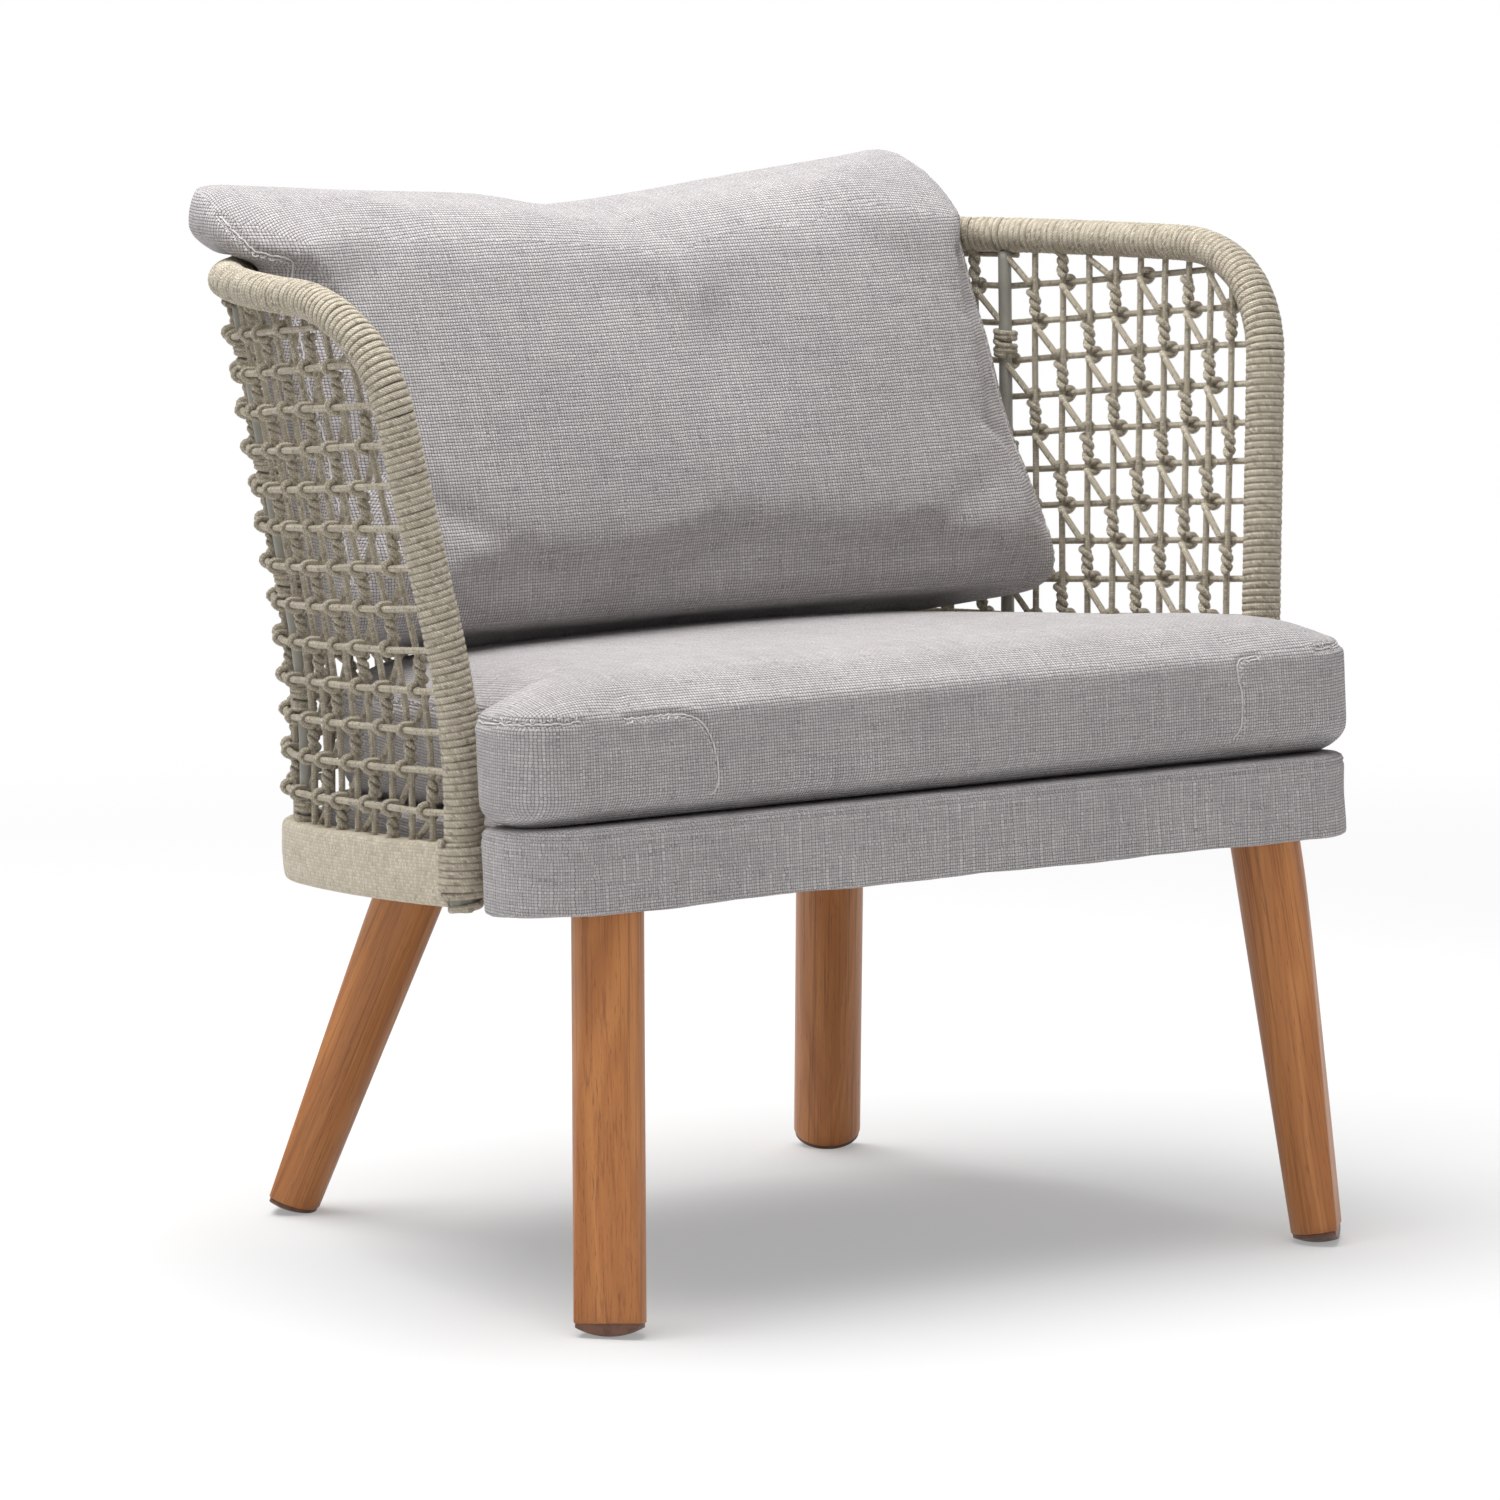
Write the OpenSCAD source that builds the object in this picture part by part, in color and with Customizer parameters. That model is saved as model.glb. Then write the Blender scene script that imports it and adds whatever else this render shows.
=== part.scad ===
// Lounge armchair: a tub-shaped mesh of rope on a wound metal rail, on four splayed timber legs,
// with a loose T-shaped seat cushion and a loose back cushion. Millimetres, +Z up, the front faces -Y.
// The origin is on the floor, under the middle of the chair's outline.

/* [Plan of the frame] */
// Half width between the centres of the uprights at their feet
foot_half_w = 343.5; // [325:0.5:360]
// Depth of the uprights' feet
foot_y = -149.1; // [-160:0.1:-135]
// Angle by which the sides splay at the feet
foot_heading = -1.3; // [-3:0.1:1]
// Radius of the sides' bow at the feet
foot_side_r = 885; // [800:5:1200]
// Radius of the rear corners at the feet
foot_corner_r = 132; // [115:1:150]
// Half width of the rail where it leaves the uprights
rail_half_w = 385.3; // [370:0.5:400]
// Depth of the rail where it leaves the uprights
rail_y = -99.1; // [-110:0.1:-90]
// Angle by which the sides splay at the rail
rail_heading = -3.9; // [-6:0.1:-2]
// Radius of the sides' bow at the rail
rail_side_r = 538; // [500:1:600]
// Radius of the rear corners at the rail
rail_corner_r = 214; // [200:1:225]
// Length of each side panel, from the upright to the rear bar
side_len = 265; // [245:1:285]

/* [Heights] */
// Height of the rail's centre at mid depth
rail_z = 694.5; // [670:0.5:720]
// Fall of the rail for each mm of depth
rail_fall = 0.0214; // [0:0.0002:0.04]
// Height of the base's underside at the uprights
base_z = 283; // [265:1:300]
// Backward tilt of the base and the seat
base_tilt = 4; // [2:0.1:6]
// Share of the mesh height that stays upright before the flare starts
flare_start = 0.05; // [0.02:0.01:0.1]
// Share of the mesh height where the flare has reached its full slope
flare_full = 0.38; // [0.3:0.01:0.5]

/* [Rail and uprights] */
// Width of the oval tube, square to the mesh
tube_w = 22; // [18:0.5:25]
// Height of the oval tube
tube_h = 19; // [16:0.5:22]
// Thickness of the rope wound on the tube
wind_t = 3; // [2:0.1:4]
// Height of the bend from the upright into the rail
bend_drop = 79; // [65:1:95]
// Length of the same bend along the rail
bend_run = 100; // [80:1:115]
// Diameter of the two rear bars
bar_d = 10; // [8:0.5:12]

/* [Rope mesh] */
// Diameter of the rope
rope_d = 4.5; // [3.5:0.1:5]
// Number of rows of rope that run round the chair
rows = 13; // [10:1:14]
// Height of the rows' common datum at the uprights
row_datum = 714; // [708:1:720]
// Fall of that datum from the uprights to the rear bars
row_drop = 35; // [30:0.5:40]
// Pitch of the rows at the uprights
row_pitch = 28.1; // [27:0.1:28.4]
// By how much the rows' pitch is smaller at the rear
row_squeeze = 1.27; // [0.8:0.01:1.6]
// Number of upright ropes in the left panel
left_ropes = 8; // [6:1:9]
// Number of upright ropes in the right panel
right_ropes = 9; // [6:1:9]
// Pitch of the upright ropes in the left panel
left_pitch = 28.2; // [26:0.1:28.4]
// Pitch of the upright ropes in the right panel
right_pitch = 24.8; // [23:0.1:25.2]
// Number of upright ropes between the rear bars
rear_ropes = 28; // [24:1:30]

/* [Base] */
// Height of the belt round the base
belt_h = 44; // [40:0.5:50]
// Thickness of the belt
belt_t = 2.7; // [2:0.1:3.5]
// Radial thickness of the base ring
ring_t = 14; // [10:0.5:16]
// Half width of the platform in front of the uprights
deck_half_w = 366; // [355:1:372]
// Depth from the uprights' feet to the platform's front
deck_reach = 117; // [105:1:130]
// Radius of the platform's front corners
deck_corner_r = 64; // [45:1:70]
// Thickness of the platform
deck_h = 58; // [52:1:66]
// Thickness of the platform's fabric
cover_t = 2.5; // [1.5:0.1:3]
// Gap between the platform and the base ring's line
deck_inset = 19.5; // [18.5:0.5:22]
// Thickness of the plywood deck
ply_t = 12; // [9:1:15]
// Thickness of the foam on the deck
foam_t = 7.5; // [5:0.5:10]
// Width of the frame's box rails
box_w = 30; // [25:1:34]
// Thickness of the leg plates
plate_t = 6; // [4:0.5:8]
// Thickness of the dust cover under the platform
dust_t = 2; // [1:0.5:3]

/* [Legs] */
// Diameter of the legs
leg_d = 50; // [42:1:56]
// Depth of the flat at the foot of each leg
leg_flat = 16.5; // [8:0.5:20]
// Direction of the flat, from the depth axis outwards
flat_turn = 48; // [30:1:60]
// Sideways splay of a front leg, from its top to the floor
front_splay_x = 27; // [15:1:35]
// Forward splay of a front leg
front_splay_y = 42.5; // [30:0.5:50]
// Sideways splay of a rear leg
rear_splay_x = 63.5; // [40:0.5:70]
// Backward splay of a rear leg
rear_splay_y = 94.5; // [60:0.5:105]
// Distance from a front leg's top to the platform's side
front_leg_in = 83.5; // [76:0.5:95]
// Distance from a front leg's top to the platform's front
front_leg_back = 31; // [29:0.5:40]
// Half distance between the tops of the rear legs
rear_leg_half = 179.5; // [150:0.5:190]
// Distance from a rear leg's top to the base ring's rear
rear_leg_in = 48.5; // [47:0.5:70]
// Radius of the glides' domed underside
glide_dome_r = 48; // [46:1:52]
// Diameter of the glides
glide_d = 48; // [40:1:54]
// Height of the glides' straight edge
glide_edge = 2.5; // [1.5:0.1:4]
// Depth of the small flat on which each glide stands
glide_flat = 0.4; // [0.2:0.1:1]
// Diameter of the hanger bolts
bolt_d = 10; // [8:0.5:12]
// Depth of the hanger bolts in the legs
bolt_in = 34; // [25:1:36]

/* [Cushions] */
// Thickness of the seat cushion at its crown
seat_h = 98; // [85:1:110]
// How far the seat cushion overhangs the platform
seat_over = 8; // [3:1:10]
// Gap between the seat cushion and the base ring's line
seat_inset = 24; // [22:0.5:30]
// Rounding of the seat cushion's edges
seat_round = 16; // [10:1:22]
// Half width of the back cushion
back_half_w = 324; // [290:1:330]
// Height of the back cushion's upper corners
back_top = 756; // [735:1:775]
// Dip of the back cushion's top edge between its corners
back_valley = 30; // [15:1:40]
// Depth of the back cushion's lower front edge
back_front_y = 30; // [20:1:60]
// Backward lean of the back cushion's front face
back_lean = 23.5; // [18:0.5:26]
// Depth of the back cushion's top edge
back_top_y = 238; // [228:1:246]
// Height of the back cushion's rounded top
back_round = 62; // [50:1:70]
// Bulge of the back cushion's front face
back_bulge = 18; // [5:1:30]

/* [Hidden] */
LEFT = -1;
RIGHT = 1;
// clearance between pieces that seat on each other
fit = 0.3;
// clearances between layers of rope that cross on a curve: rows outside, slanted ropes inside
rope_gap = 0.9;
slant_gap = 0.5;
rope_r = rope_d / 2;
rope_lay = rope_d + rope_gap;
wound_w = tube_w + 2 * wind_t;
wound_h = tube_h + 2 * wind_t;
tube_sides = 8;
wound_sides = 12;
rope_sides = 6;
// a plan curve: start x, start y, heading, bow radius, side length, corner radius
foot_curve = [foot_half_w, foot_y, foot_heading, foot_side_r, side_len, foot_corner_r];
rail_curve = [rail_half_w, rail_y, rail_heading, rail_side_r, side_len, rail_corner_r];

// ---------- plan curves and the shell between them ----------
function unit(v) = v / norm(v);
function lerp(a, b, t) = a + (b - a) * t;
function steps(a, b, n) = [for (i = [0 : n]) a + (b - a) * i / n];
function turned(len, r) = len / r * 180 / PI;
function side_end(c) = c[2] + turned(c[4], c[3]);
function side_pt(c, s, off) =
    let (h = c[2] + turned(s, c[3]))
    [c[0] + c[3] * (cos(h) - cos(c[2])) + off * cos(h),
     c[1] + c[3] * (sin(h) - sin(c[2])) + off * sin(h), h];
function corner_at(c) =
    let (p = side_pt(c, c[4], 0), h = side_end(c))
    [p[0] - c[5] * cos(h), p[1] - c[5] * sin(h)];
function corner_len(c) = c[5] * (90 - side_end(c)) * PI / 180;
function half_len(c) = c[4] + corner_len(c) + corner_at(c)[0];
function rear_y(c) = corner_at(c)[1] + c[5];
function corner_pt(c, s, off) =
    let (m = corner_at(c), h = side_end(c) + turned(s - c[4], c[5]))
    [m[0] + (c[5] + off) * cos(h), m[1] + (c[5] + off) * sin(h), h];
function plan_pt(c, s, off = 0) =
    s <= c[4] ? side_pt(c, s, off)
    : s <= c[4] + corner_len(c) ? corner_pt(c, s, off)
    : [half_len(c) - s, rear_y(c) + off, 90];

foot_half = half_len(foot_curve);
rail_half = half_len(rail_curve);
function foot_arc(a) =
    a <= side_len ? a : side_len + (a - side_len) * (foot_half - side_len) / (rail_half - side_len);
function rail_at(a) = rail_z - rail_fall * plan_pt(rail_curve, a)[1];
// where the flare of the mesh is measured from
flare_z = base_z + belt_h;
function flare(w) =
    let (span = flare_full - flare_start, full = 1 / (span / 2 + 1 - flare_full))
    w < flare_start ? 0
    : w < flare_full ? full * (w - flare_start) * (w - flare_start) / (2 * span)
    : full * (span / 2 + w - flare_full);
function flare_at(a, z) = flare((z - flare_z) / (rail_at(a) - flare_z));
// a place on the shell: arc length from the upright, height, offset outwards, side of the chair
function shell(a, z, off, side) =
    let (p = plan_pt(rail_curve, a), q = plan_pt(foot_curve, foot_arc(a)), f = flare_at(a, z),
         h = lerp(q[2], p[2], f))
    [side * (lerp(q[0], p[0], f) + off * cos(h)), lerp(q[1], p[1], f) + off * sin(h), z];
function shell_out(a, z, side) =
    let (h = lerp(plan_pt(foot_curve, foot_arc(a))[2], plan_pt(rail_curve, a)[2], flare_at(a, z)))
    [side * cos(h), sin(h), 0];
flare_steps = 4;
function flare_heights(a) =
    [for (w = steps(flare_start, flare_full, flare_steps)) lerp(flare_z, rail_at(a), w)];
side_steps = 6;
corner_steps = 9;
corner_end = side_len + corner_len(rail_curve);

// ---------- the bend of the upright into the rail, as arc length and height ----------
bend_steps = 8;
bend_low = [0, rail_at(0) - bend_drop];
bend_tip = [0, rail_at(0)];
bend_end = [bend_run, rail_at(bend_run)];
// handle length of the bend's cubic: a quarter ellipse would be 0.55, more makes it squarer
handle = 0.6;
bend_p1 = lerp(bend_low, bend_tip, handle);
bend_p2 = lerp(bend_end, bend_tip, handle);
function bend(t) =
    let (u = 1 - t)
    u * u * u * bend_low + 3 * u * u * t * bend_p1 + 3 * u * t * t * bend_p2 + t * t * t * bend_end;
function bend_dir(t) =
    let (u = 1 - t)
    unit(u * u * (bend_p1 - bend_low) + 2 * u * t * (bend_p2 - bend_p1) + t * t * (bend_end - bend_p2));
under = wound_h / 2 + fit;
// the bend's facets cut inside its curve by less than this
bend_sag = 0.6;
edge_steps = 24;
// the lower edge of the wound bend
inner_edge = [for (t = steps(0, 1, edge_steps))
    bend(t) + (under + bend_sag) * [bend_dir(t)[1], -bend_dir(t)[0]]];
function under_rail(a) = a >= bend_run ? rail_at(a) - under : lookup(a, inner_edge);

// ---------- solids lofted through rings of points ----------
function skin(n, m, at) =
    [for (j = [0 : m - 2]) for (i = [0 : n - 1])
        let (a = at + j * n + i, b = at + j * n + (i + 1) % n)
        each [[a, a + n, b + n], [a, b + n, b]]];
function flipped(faces) = [for (f = faces) [f[2], f[1], f[0]]];
module loft(rings) {
    n = len(rings[0]);
    m = len(rings);
    polyhedron(
        points = [for (r = rings) each r],
        faces = concat([[for (i = [0 : n - 1]) i]], [[for (i = [n - 1 : -1 : 0]) (m - 1) * n + i]],
            skin(n, m, 0)));
}
// the same, with the last ring closed by a fan of triangles round a point, for a ring that isn't flat
module loft_to_point(rings, tip) {
    n = len(rings[0]);
    m = len(rings);
    polyhedron(
        points = concat([for (r = rings) each r], [tip]),
        faces = concat([[for (i = [0 : n - 1]) i]], skin(n, m, 0),
            [for (i = [0 : n - 1]) [(m - 1) * n + (i + 1) % n, (m - 1) * n + i, m * n]]));
}
// a ring of points on an oval, about a place on a path of [point, outward] pairs
function oval_rings(path, w, h, n) =
    [for (i = [0 : len(path) - 1])
        let (t = unit(path[min(i + 1, len(path) - 1)][0] - path[max(i - 1, 0)][0]),
             up = unit(cross(t, path[i][1])), out = cross(up, t))
        [for (k = [0 : n - 1])
            path[i][0] + out * w / 2 * cos(360 * k / n) + up * h / 2 * sin(360 * k / n)]];
// rings with the first and last moved apart, so that a cut runs past both ends
function middle(ring) = [for (p = ring) 1] * ring / len(ring);
function moved(ring, v) = [for (p = ring) p + v];
function stretched(rings, past) =
    let (n = len(rings) - 1, head = unit(middle(rings[0]) - middle(rings[1])),
         tail = unit(middle(rings[n]) - middle(rings[n - 1])))
    concat([moved(rings[0], past * head)], part_of(rings, 1, n - 1), [moved(rings[n], past * tail)]);
function part_of(list, from, to) = [for (i = [from : to]) list[i]];
// a tube with an oval hole
module sleeve(outer, hole) {
    difference() {
        loft(outer);
        loft(stretched(hole, wind_t));
    }
}
function on_shell(a, z, side, off = 0) = [shell(a, z, off, side), shell_out(a, z, side)];
function reversed(list) = [for (i = [len(list) - 1 : -1 : 0]) list[i]];

// ---------- top rail, uprights and their winding ----------
upright_heights = concat(flare_heights(0), [bend_low[1]]);
rail_arcs = concat(steps(bend_run, side_len, side_steps - 1),
    [for (i = [1 : corner_steps]) lerp(side_len, corner_end, i / corner_steps)]);
function half_rail_path(side) =
    concat([for (i = [1 : bend_steps]) let (q = bend(i / bend_steps)) on_shell(q[0], q[1], side)],
        [for (i = [1 : len(rail_arcs) - 1]) on_shell(rail_arcs[i], rail_at(rail_arcs[i]), side)]);
function upright_path(side, from) =
    [for (z = concat([from], upright_heights)) on_shell(0, z, side)];
frame_path = concat(upright_path(LEFT, base_z), half_rail_path(LEFT), reversed(half_rail_path(RIGHT)),
    reversed(upright_path(RIGHT, base_z)));
rail_from = len(upright_heights);
rail_to = len(frame_path) - 1 - rail_from;
wrap_top = base_z + belt_h;

module rail_tube() {
    color("darkseagreen") loft(oval_rings(frame_path, tube_w, tube_h, tube_sides));
}
module rail_winding() {
    color("tan") sleeve(
        part_of(oval_rings(frame_path, wound_w, wound_h, wound_sides), rail_from, rail_to),
        part_of(oval_rings(frame_path, tube_w + fit, tube_h + fit, tube_sides), rail_from, rail_to));
}
// the rings of an upright's winding: they share the rail winding's end plane and stop short of it
function upright_rings(w, h, n, side) =
    let (path = concat(upright_path(side, wrap_top + fit), [half_rail_path(side)[0]]),
         rings = oval_rings(side == LEFT ? path : reversed(path), w, h, n),
         way = unit(path[len(path) - 3][0] - path[len(path) - 2][0]), last = len(rings) - 1)
    side == LEFT ? concat(part_of(rings, 0, last - 2), [moved(rings[last - 1], way * fit)])
    : concat([moved(rings[1], way * fit)], part_of(rings, 2, last));
module upright_winding(side) {
    color("tan") sleeve(upright_rings(wound_w, wound_h, wound_sides, side),
        upright_rings(tube_w + fit, tube_h + fit, tube_sides, side));
}
// rope wound round the foot of an upright, with windows for the ring and the outrigger
module foot_wrap(side) {
    slack = 1.5;
    function ring(w, h) = [for (k = [0 : wound_sides - 1])
        [w / 2 * cos(360 * k / wound_sides), h / 2 * sin(360 * k / wound_sides)]];
    function bore(w, h) = [for (k = [0 : tube_sides - 1])
        [w / 2 * cos(360 * k / tube_sides), h / 2 * sin(360 * k / tube_sides)]];
    color("tan") difference() {
        translate([side * foot_half_w, foot_y, base_z])
            linear_extrude(belt_h) polygon(ring(wound_w, wound_h));
        translate([side * foot_half_w, foot_y, base_z - 1])
            linear_extrude(belt_h + 2) polygon(bore(tube_w + fit, tube_h + fit));
        translate([side * foot_half_w - ring_t / 2 - slack - 1, foot_y, base_z + ring_low - slack])
            cube([ring_t + 2 * slack + 2, wound_h, belt_h - 2 * ring_low + 2 * slack]);
        translate([side == LEFT ? -foot_half_w : 0, foot_y - box_w / 3 - slack / 2, outrigger_z - slack])
            cube([foot_half_w, box_w * 2 / 3 + slack, outrigger_h + 2 * slack]);
    }
}

// ---------- the two rear bars and the rope tied round them ----------
bar_off = -(bar_d / 2 - rope_lay + rope_r + rope_gap);
function level_ring(p, d, n) =
    [for (k = [0 : n - 1]) p + d / 2 * [cos(360 * k / n), sin(360 * k / n), 0]];
function belt_top(y) = base_z + belt_h / cos(base_tilt) - (y - foot_y) * tan(base_tilt);
function upright_rope_heights(a) =
    let (y = shell(a, base_z, 0, RIGHT)[1])
    concat([belt_top(y) + fit + (bar_d / 2) * tan(base_tilt)], flare_heights(a),
        [under_rail(a - rope_r)]);
bar_sides = 10;
module rear_bar(side) {
    color("darkseagreen")
        loft([for (z = upright_rope_heights(side_len))
            level_ring(shell(side_len, z, bar_off, side), bar_d, bar_sides)]);
}
function row_height(k, a) =
    let (t = min(a / side_len, 1))
    row_datum - row_drop * t - k * (row_pitch - row_squeeze * t);
// the slanted strands are tied to a bar inside every third gap, next to the rows that bound it
tie_reach = 8;
module bar_ties(side) {
    first = side == LEFT ? 1 : 2;
    color("tan") for (k = [first : 3 : rows - 1],
        z = [row_height(k, side_len) - tie_reach, row_height(k + 1, side_len) + tie_reach]) {
        above = shell(side_len, z + rope_r, bar_off, side);
        below = shell(side_len, z - rope_r, bar_off, side);
        lean = above - below;
        translate((above + below) / 2)
            rotate([0, atan2(norm([lean[0], lean[1]]), lean[2]), 0])
                rotate_extrude() translate([bar_d / 2 + fit * 2 + rope_r, 0]) circle(d = rope_d);
    }
}

// ---------- the rope mesh ----------
function rope_arc(side, j) = side_len - (j + 1) * (side == LEFT ? left_pitch : right_pitch);
module upright_rope(a, side) {
    loft([for (z = upright_rope_heights(a)) level_ring(shell(a, z, 0, side), rope_d, rope_sides)]);
}
module side_upright_ropes(side) {
    color("tan") for (j = [0 : (side == LEFT ? left_ropes : right_ropes) - 1])
        upright_rope(rope_arc(side, j), side);
}
// the ropes between the bars are counted from the right bar: arc length and side of each
rear_span = 2 * (rail_half - side_len);
function rear_rope(c) =
    let (u = c * rear_span / (rear_ropes + 1))
    u <= rear_span / 2 ? [side_len + u, RIGHT] : [side_len + rear_span - u, LEFT];
module rear_upright_ropes() {
    color("tan") for (c = [1 : rear_ropes])
        upright_rope(rear_rope(c)[0], rear_rope(c)[1]);
}
function row_start(k) =
    [for (q = inner_edge) if (q[1] >= row_height(k, q[0]) + rope_r) q[0]][0];
function row_ring(k, a, side) =
    let (z = row_height(k, a), p = shell(a, z, rope_lay, side), out = shell_out(a, z, side))
    [for (i = [0 : rope_sides - 1])
        p + rope_r * (out * cos(360 * i / rope_sides) + [0, 0, sin(360 * i / rope_sides)])];
function row_arcs(k) = concat(steps(row_start(k), side_len, side_steps),
    [for (i = [1 : corner_steps]) lerp(side_len, corner_end, i / corner_steps)]);
module row_ropes() {
    color("tan") for (k = [1 : rows])
        loft(concat([for (a = row_arcs(k)) row_ring(k, a, LEFT)],
            reversed([for (a = row_arcs(k)) row_ring(k, a, RIGHT)])));
}
// a straight run of rope between two points
module rope_run(p, q) {
    d = q - p;
    translate(p) rotate([0, acos(d[2] / norm(d)), atan2(d[1], d[0])]) cylinder(h = norm(d), d = rope_d);
}
// Columns are counted from the right bar: 1, 2, 3 ... towards the right upright, -1, -2 ... across
// the rear, then on along the left panel. Every third column starts a slanted rope in each gap.
left_bar = -(rear_ropes + 1);
function column(c) =
    c >= 0 ? [side_len - c * right_pitch, RIGHT]
    : c >= left_bar ? rear_rope(-c)
    : [side_len - (left_bar - c) * left_pitch, LEFT];
function is_bar(c) = c == 0 || c == left_bar;
// a slanted rope stays clear of a bar by this share of a cell
bar_clear = 0.56;
function slant_end(c, g) =
    let (k = column(c), z = row_height(g, k[0])) shell(k[0], z, -rope_d - slant_gap, k[1]);
module slant_ropes(from, to) {
    color("tan") for (g = [1 : rows - 1], c = [from : to - 1])
        if ((c + g) % 3 == 0 && slant_fits(c, g))
            rope_run(lerp(slant_end(c, g), slant_end(c + 1, g + 1), is_bar(c) ? bar_clear : 0),
                lerp(slant_end(c, g), slant_end(c + 1, g + 1), is_bar(c + 1) ? 1 - bar_clear : 1));
}
function slant_fits(c, g) =
    row_height(g, column(c)[0]) + rope_d < under_rail(column(c)[0])
    && row_height(g + 1, column(c + 1)[0]) + rope_d < under_rail(column(c + 1)[0]);

// ---------- base ring, belt and platform, drawn in the tilted plane of the base ----------
module on_base() {
    translate([0, foot_y, base_z]) rotate([-base_tilt, 0, 0]) translate([0, -foot_y, 0]) children();
}
foot_corner_end = side_len + corner_len(foot_curve);
outline_steps = 10;
function foot_arcs(from) = concat(steps(from, side_len, outline_steps),
    [for (i = [1 : outline_steps]) lerp(side_len, foot_corner_end, i / outline_steps)]);
function mirrored(pts) = [for (p = reversed(pts)) [-p[0], p[1]]];
function flat(p) = [p[0], p[1]];
function foot_line(from, off) = [for (s = foot_arcs(from)) flat(plan_pt(foot_curve, s, off))];
// a band that follows the base from one upright round the rear to the other
module band(from, inner, outer) {
    polygon(concat(foot_line(from, outer), mirrored(foot_line(from, outer)),
        reversed(concat(foot_line(from, inner), mirrored(foot_line(from, inner))))));
}
ring_out = ring_t / 2 - 1;
ring_in = ring_out - ring_t;
ring_low = belt_t + fit;
belt_out = ring_out + fit + belt_t;
ring_spacer_x = 90;
module base_ring() {
    color("darkseagreen") on_base()
        translate([0, 0, ring_low]) linear_extrude(belt_h - 2 * ring_low)
            band(tube_h / 2 + fit, ring_in, ring_out);
}
module base_belt() {
    color("tan") on_base() difference() {
        linear_extrude(belt_h) band(wound_h / 2 + fit, ring_in, belt_out);
        translate([0, 0, belt_t]) linear_extrude(belt_h - 2 * belt_t)
            band(0, ring_in - belt_t, ring_out + fit);
    }
}
// blocks that carry the rear of the ring on the platform
module ring_spacers() {
    depth = deck_inset + ring_in;
    wide = 30;
    tall = 26;
    color("darkseagreen") on_base() for (side = [LEFT, RIGHT])
        translate([side * ring_spacer_x - wide / 2, rear_y(foot_curve) - deck_inset, belt_h / 2 - tall / 2])
            cube([wide, depth, tall]);
}
lobe_rear_y = foot_y - wound_h / 2 - 14;
lobe_r = 15;
notch_r = 10;
arc_steps = 6;
function arc(cx, cy, r, from, to) =
    [for (t = steps(from, to, arc_steps)) [cx + r * cos(t), cy + r * sin(t)]];
// right half of the T-shaped outline: lobe half width, front, corner radius, inset, growth outwards
function t_half(w, front, r, inset, grow) =
    let (start = lobe_rear_y + notch_r - foot_y,
         neck = plan_pt(foot_curve, start, -inset)[0])
    concat(arc(w - r, front + r, r + grow, -90, 0),
        arc(w - lobe_r, lobe_rear_y - lobe_r, lobe_r + grow, 0, 90),
        arc(neck + notch_r, lobe_rear_y + notch_r, notch_r - grow, 270, 180),
        [for (s = foot_arcs(start + arc_steps)) flat(plan_pt(foot_curve, s, grow - inset))]);
function t_outline(w, front, r, inset, grow) =
    concat(t_half(w, front, r, inset, grow), mirrored(t_half(w, front, r, inset, grow)));
deck_front = foot_y - deck_reach;
module deck_shape(grow) {
    polygon(t_outline(deck_half_w, deck_front, deck_corner_r, deck_inset, grow));
}
plate_low = dust_t;
box_low = plate_low + plate_t;
foam_top = deck_h - cover_t;
ply_low = foam_top - foam_t - ply_t;
box_h = ply_low - box_low;
outrigger_low = box_low + 2;
outrigger_z = base_z + outrigger_low;
outrigger_h = box_h - 4;
front_leg_x = deck_half_w - front_leg_in;
front_leg_y = deck_front + front_leg_back;
rear_leg_y = rear_y(foot_curve) - rear_leg_in;
// half width inside the platform at the rear rail's back face, where the rear corner is rounding in
rear_inside_w = corner_at(foot_curve)[0]
    + sqrt(pow(foot_corner_r - deck_inset - cover_t, 2) - pow(rear_leg_y + box_w / 2 - corner_at(foot_curve)[1], 2));
side_box_x = rear_inside_w - box_w / 2 - 6;
module platform_cover() {
    color("rosybrown") on_base() difference() {
        linear_extrude(deck_h) deck_shape(0);
        translate([0, 0, -1]) linear_extrude(foam_top + 1) deck_shape(-cover_t);
        for (side = [LEFT, RIGHT])
            translate([side * foot_half_w - 40, foot_y - box_w / 3 - fit, outrigger_low - fit])
                cube([80, box_w * 2 / 3 + 2 * fit, outrigger_h + 2 * fit]);
    }
}
module dust_cover() {
    color("dimgray") on_base() difference() {
        linear_extrude(dust_t) deck_shape(-cover_t - fit);
        at_legs() translate([0, 0, -1]) cylinder(h = dust_t + 2, d = bolt_d + 2 * fit);
    }
}
module seat_deck() {
    color("burlywood") on_base() difference() {
        translate([0, 0, ply_low]) linear_extrude(ply_t) deck_shape(-cover_t - fit);
        at_deck_screws() translate([0, 0, ply_low - 1]) cylinder(h = ply_t + 2, d = screw_d + 2 * fit);
    }
}
module deck_foam() {
    color("white") on_base() translate([0, 0, foam_top - foam_t])
        linear_extrude(foam_t) deck_shape(-cover_t - fit);
}
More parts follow.
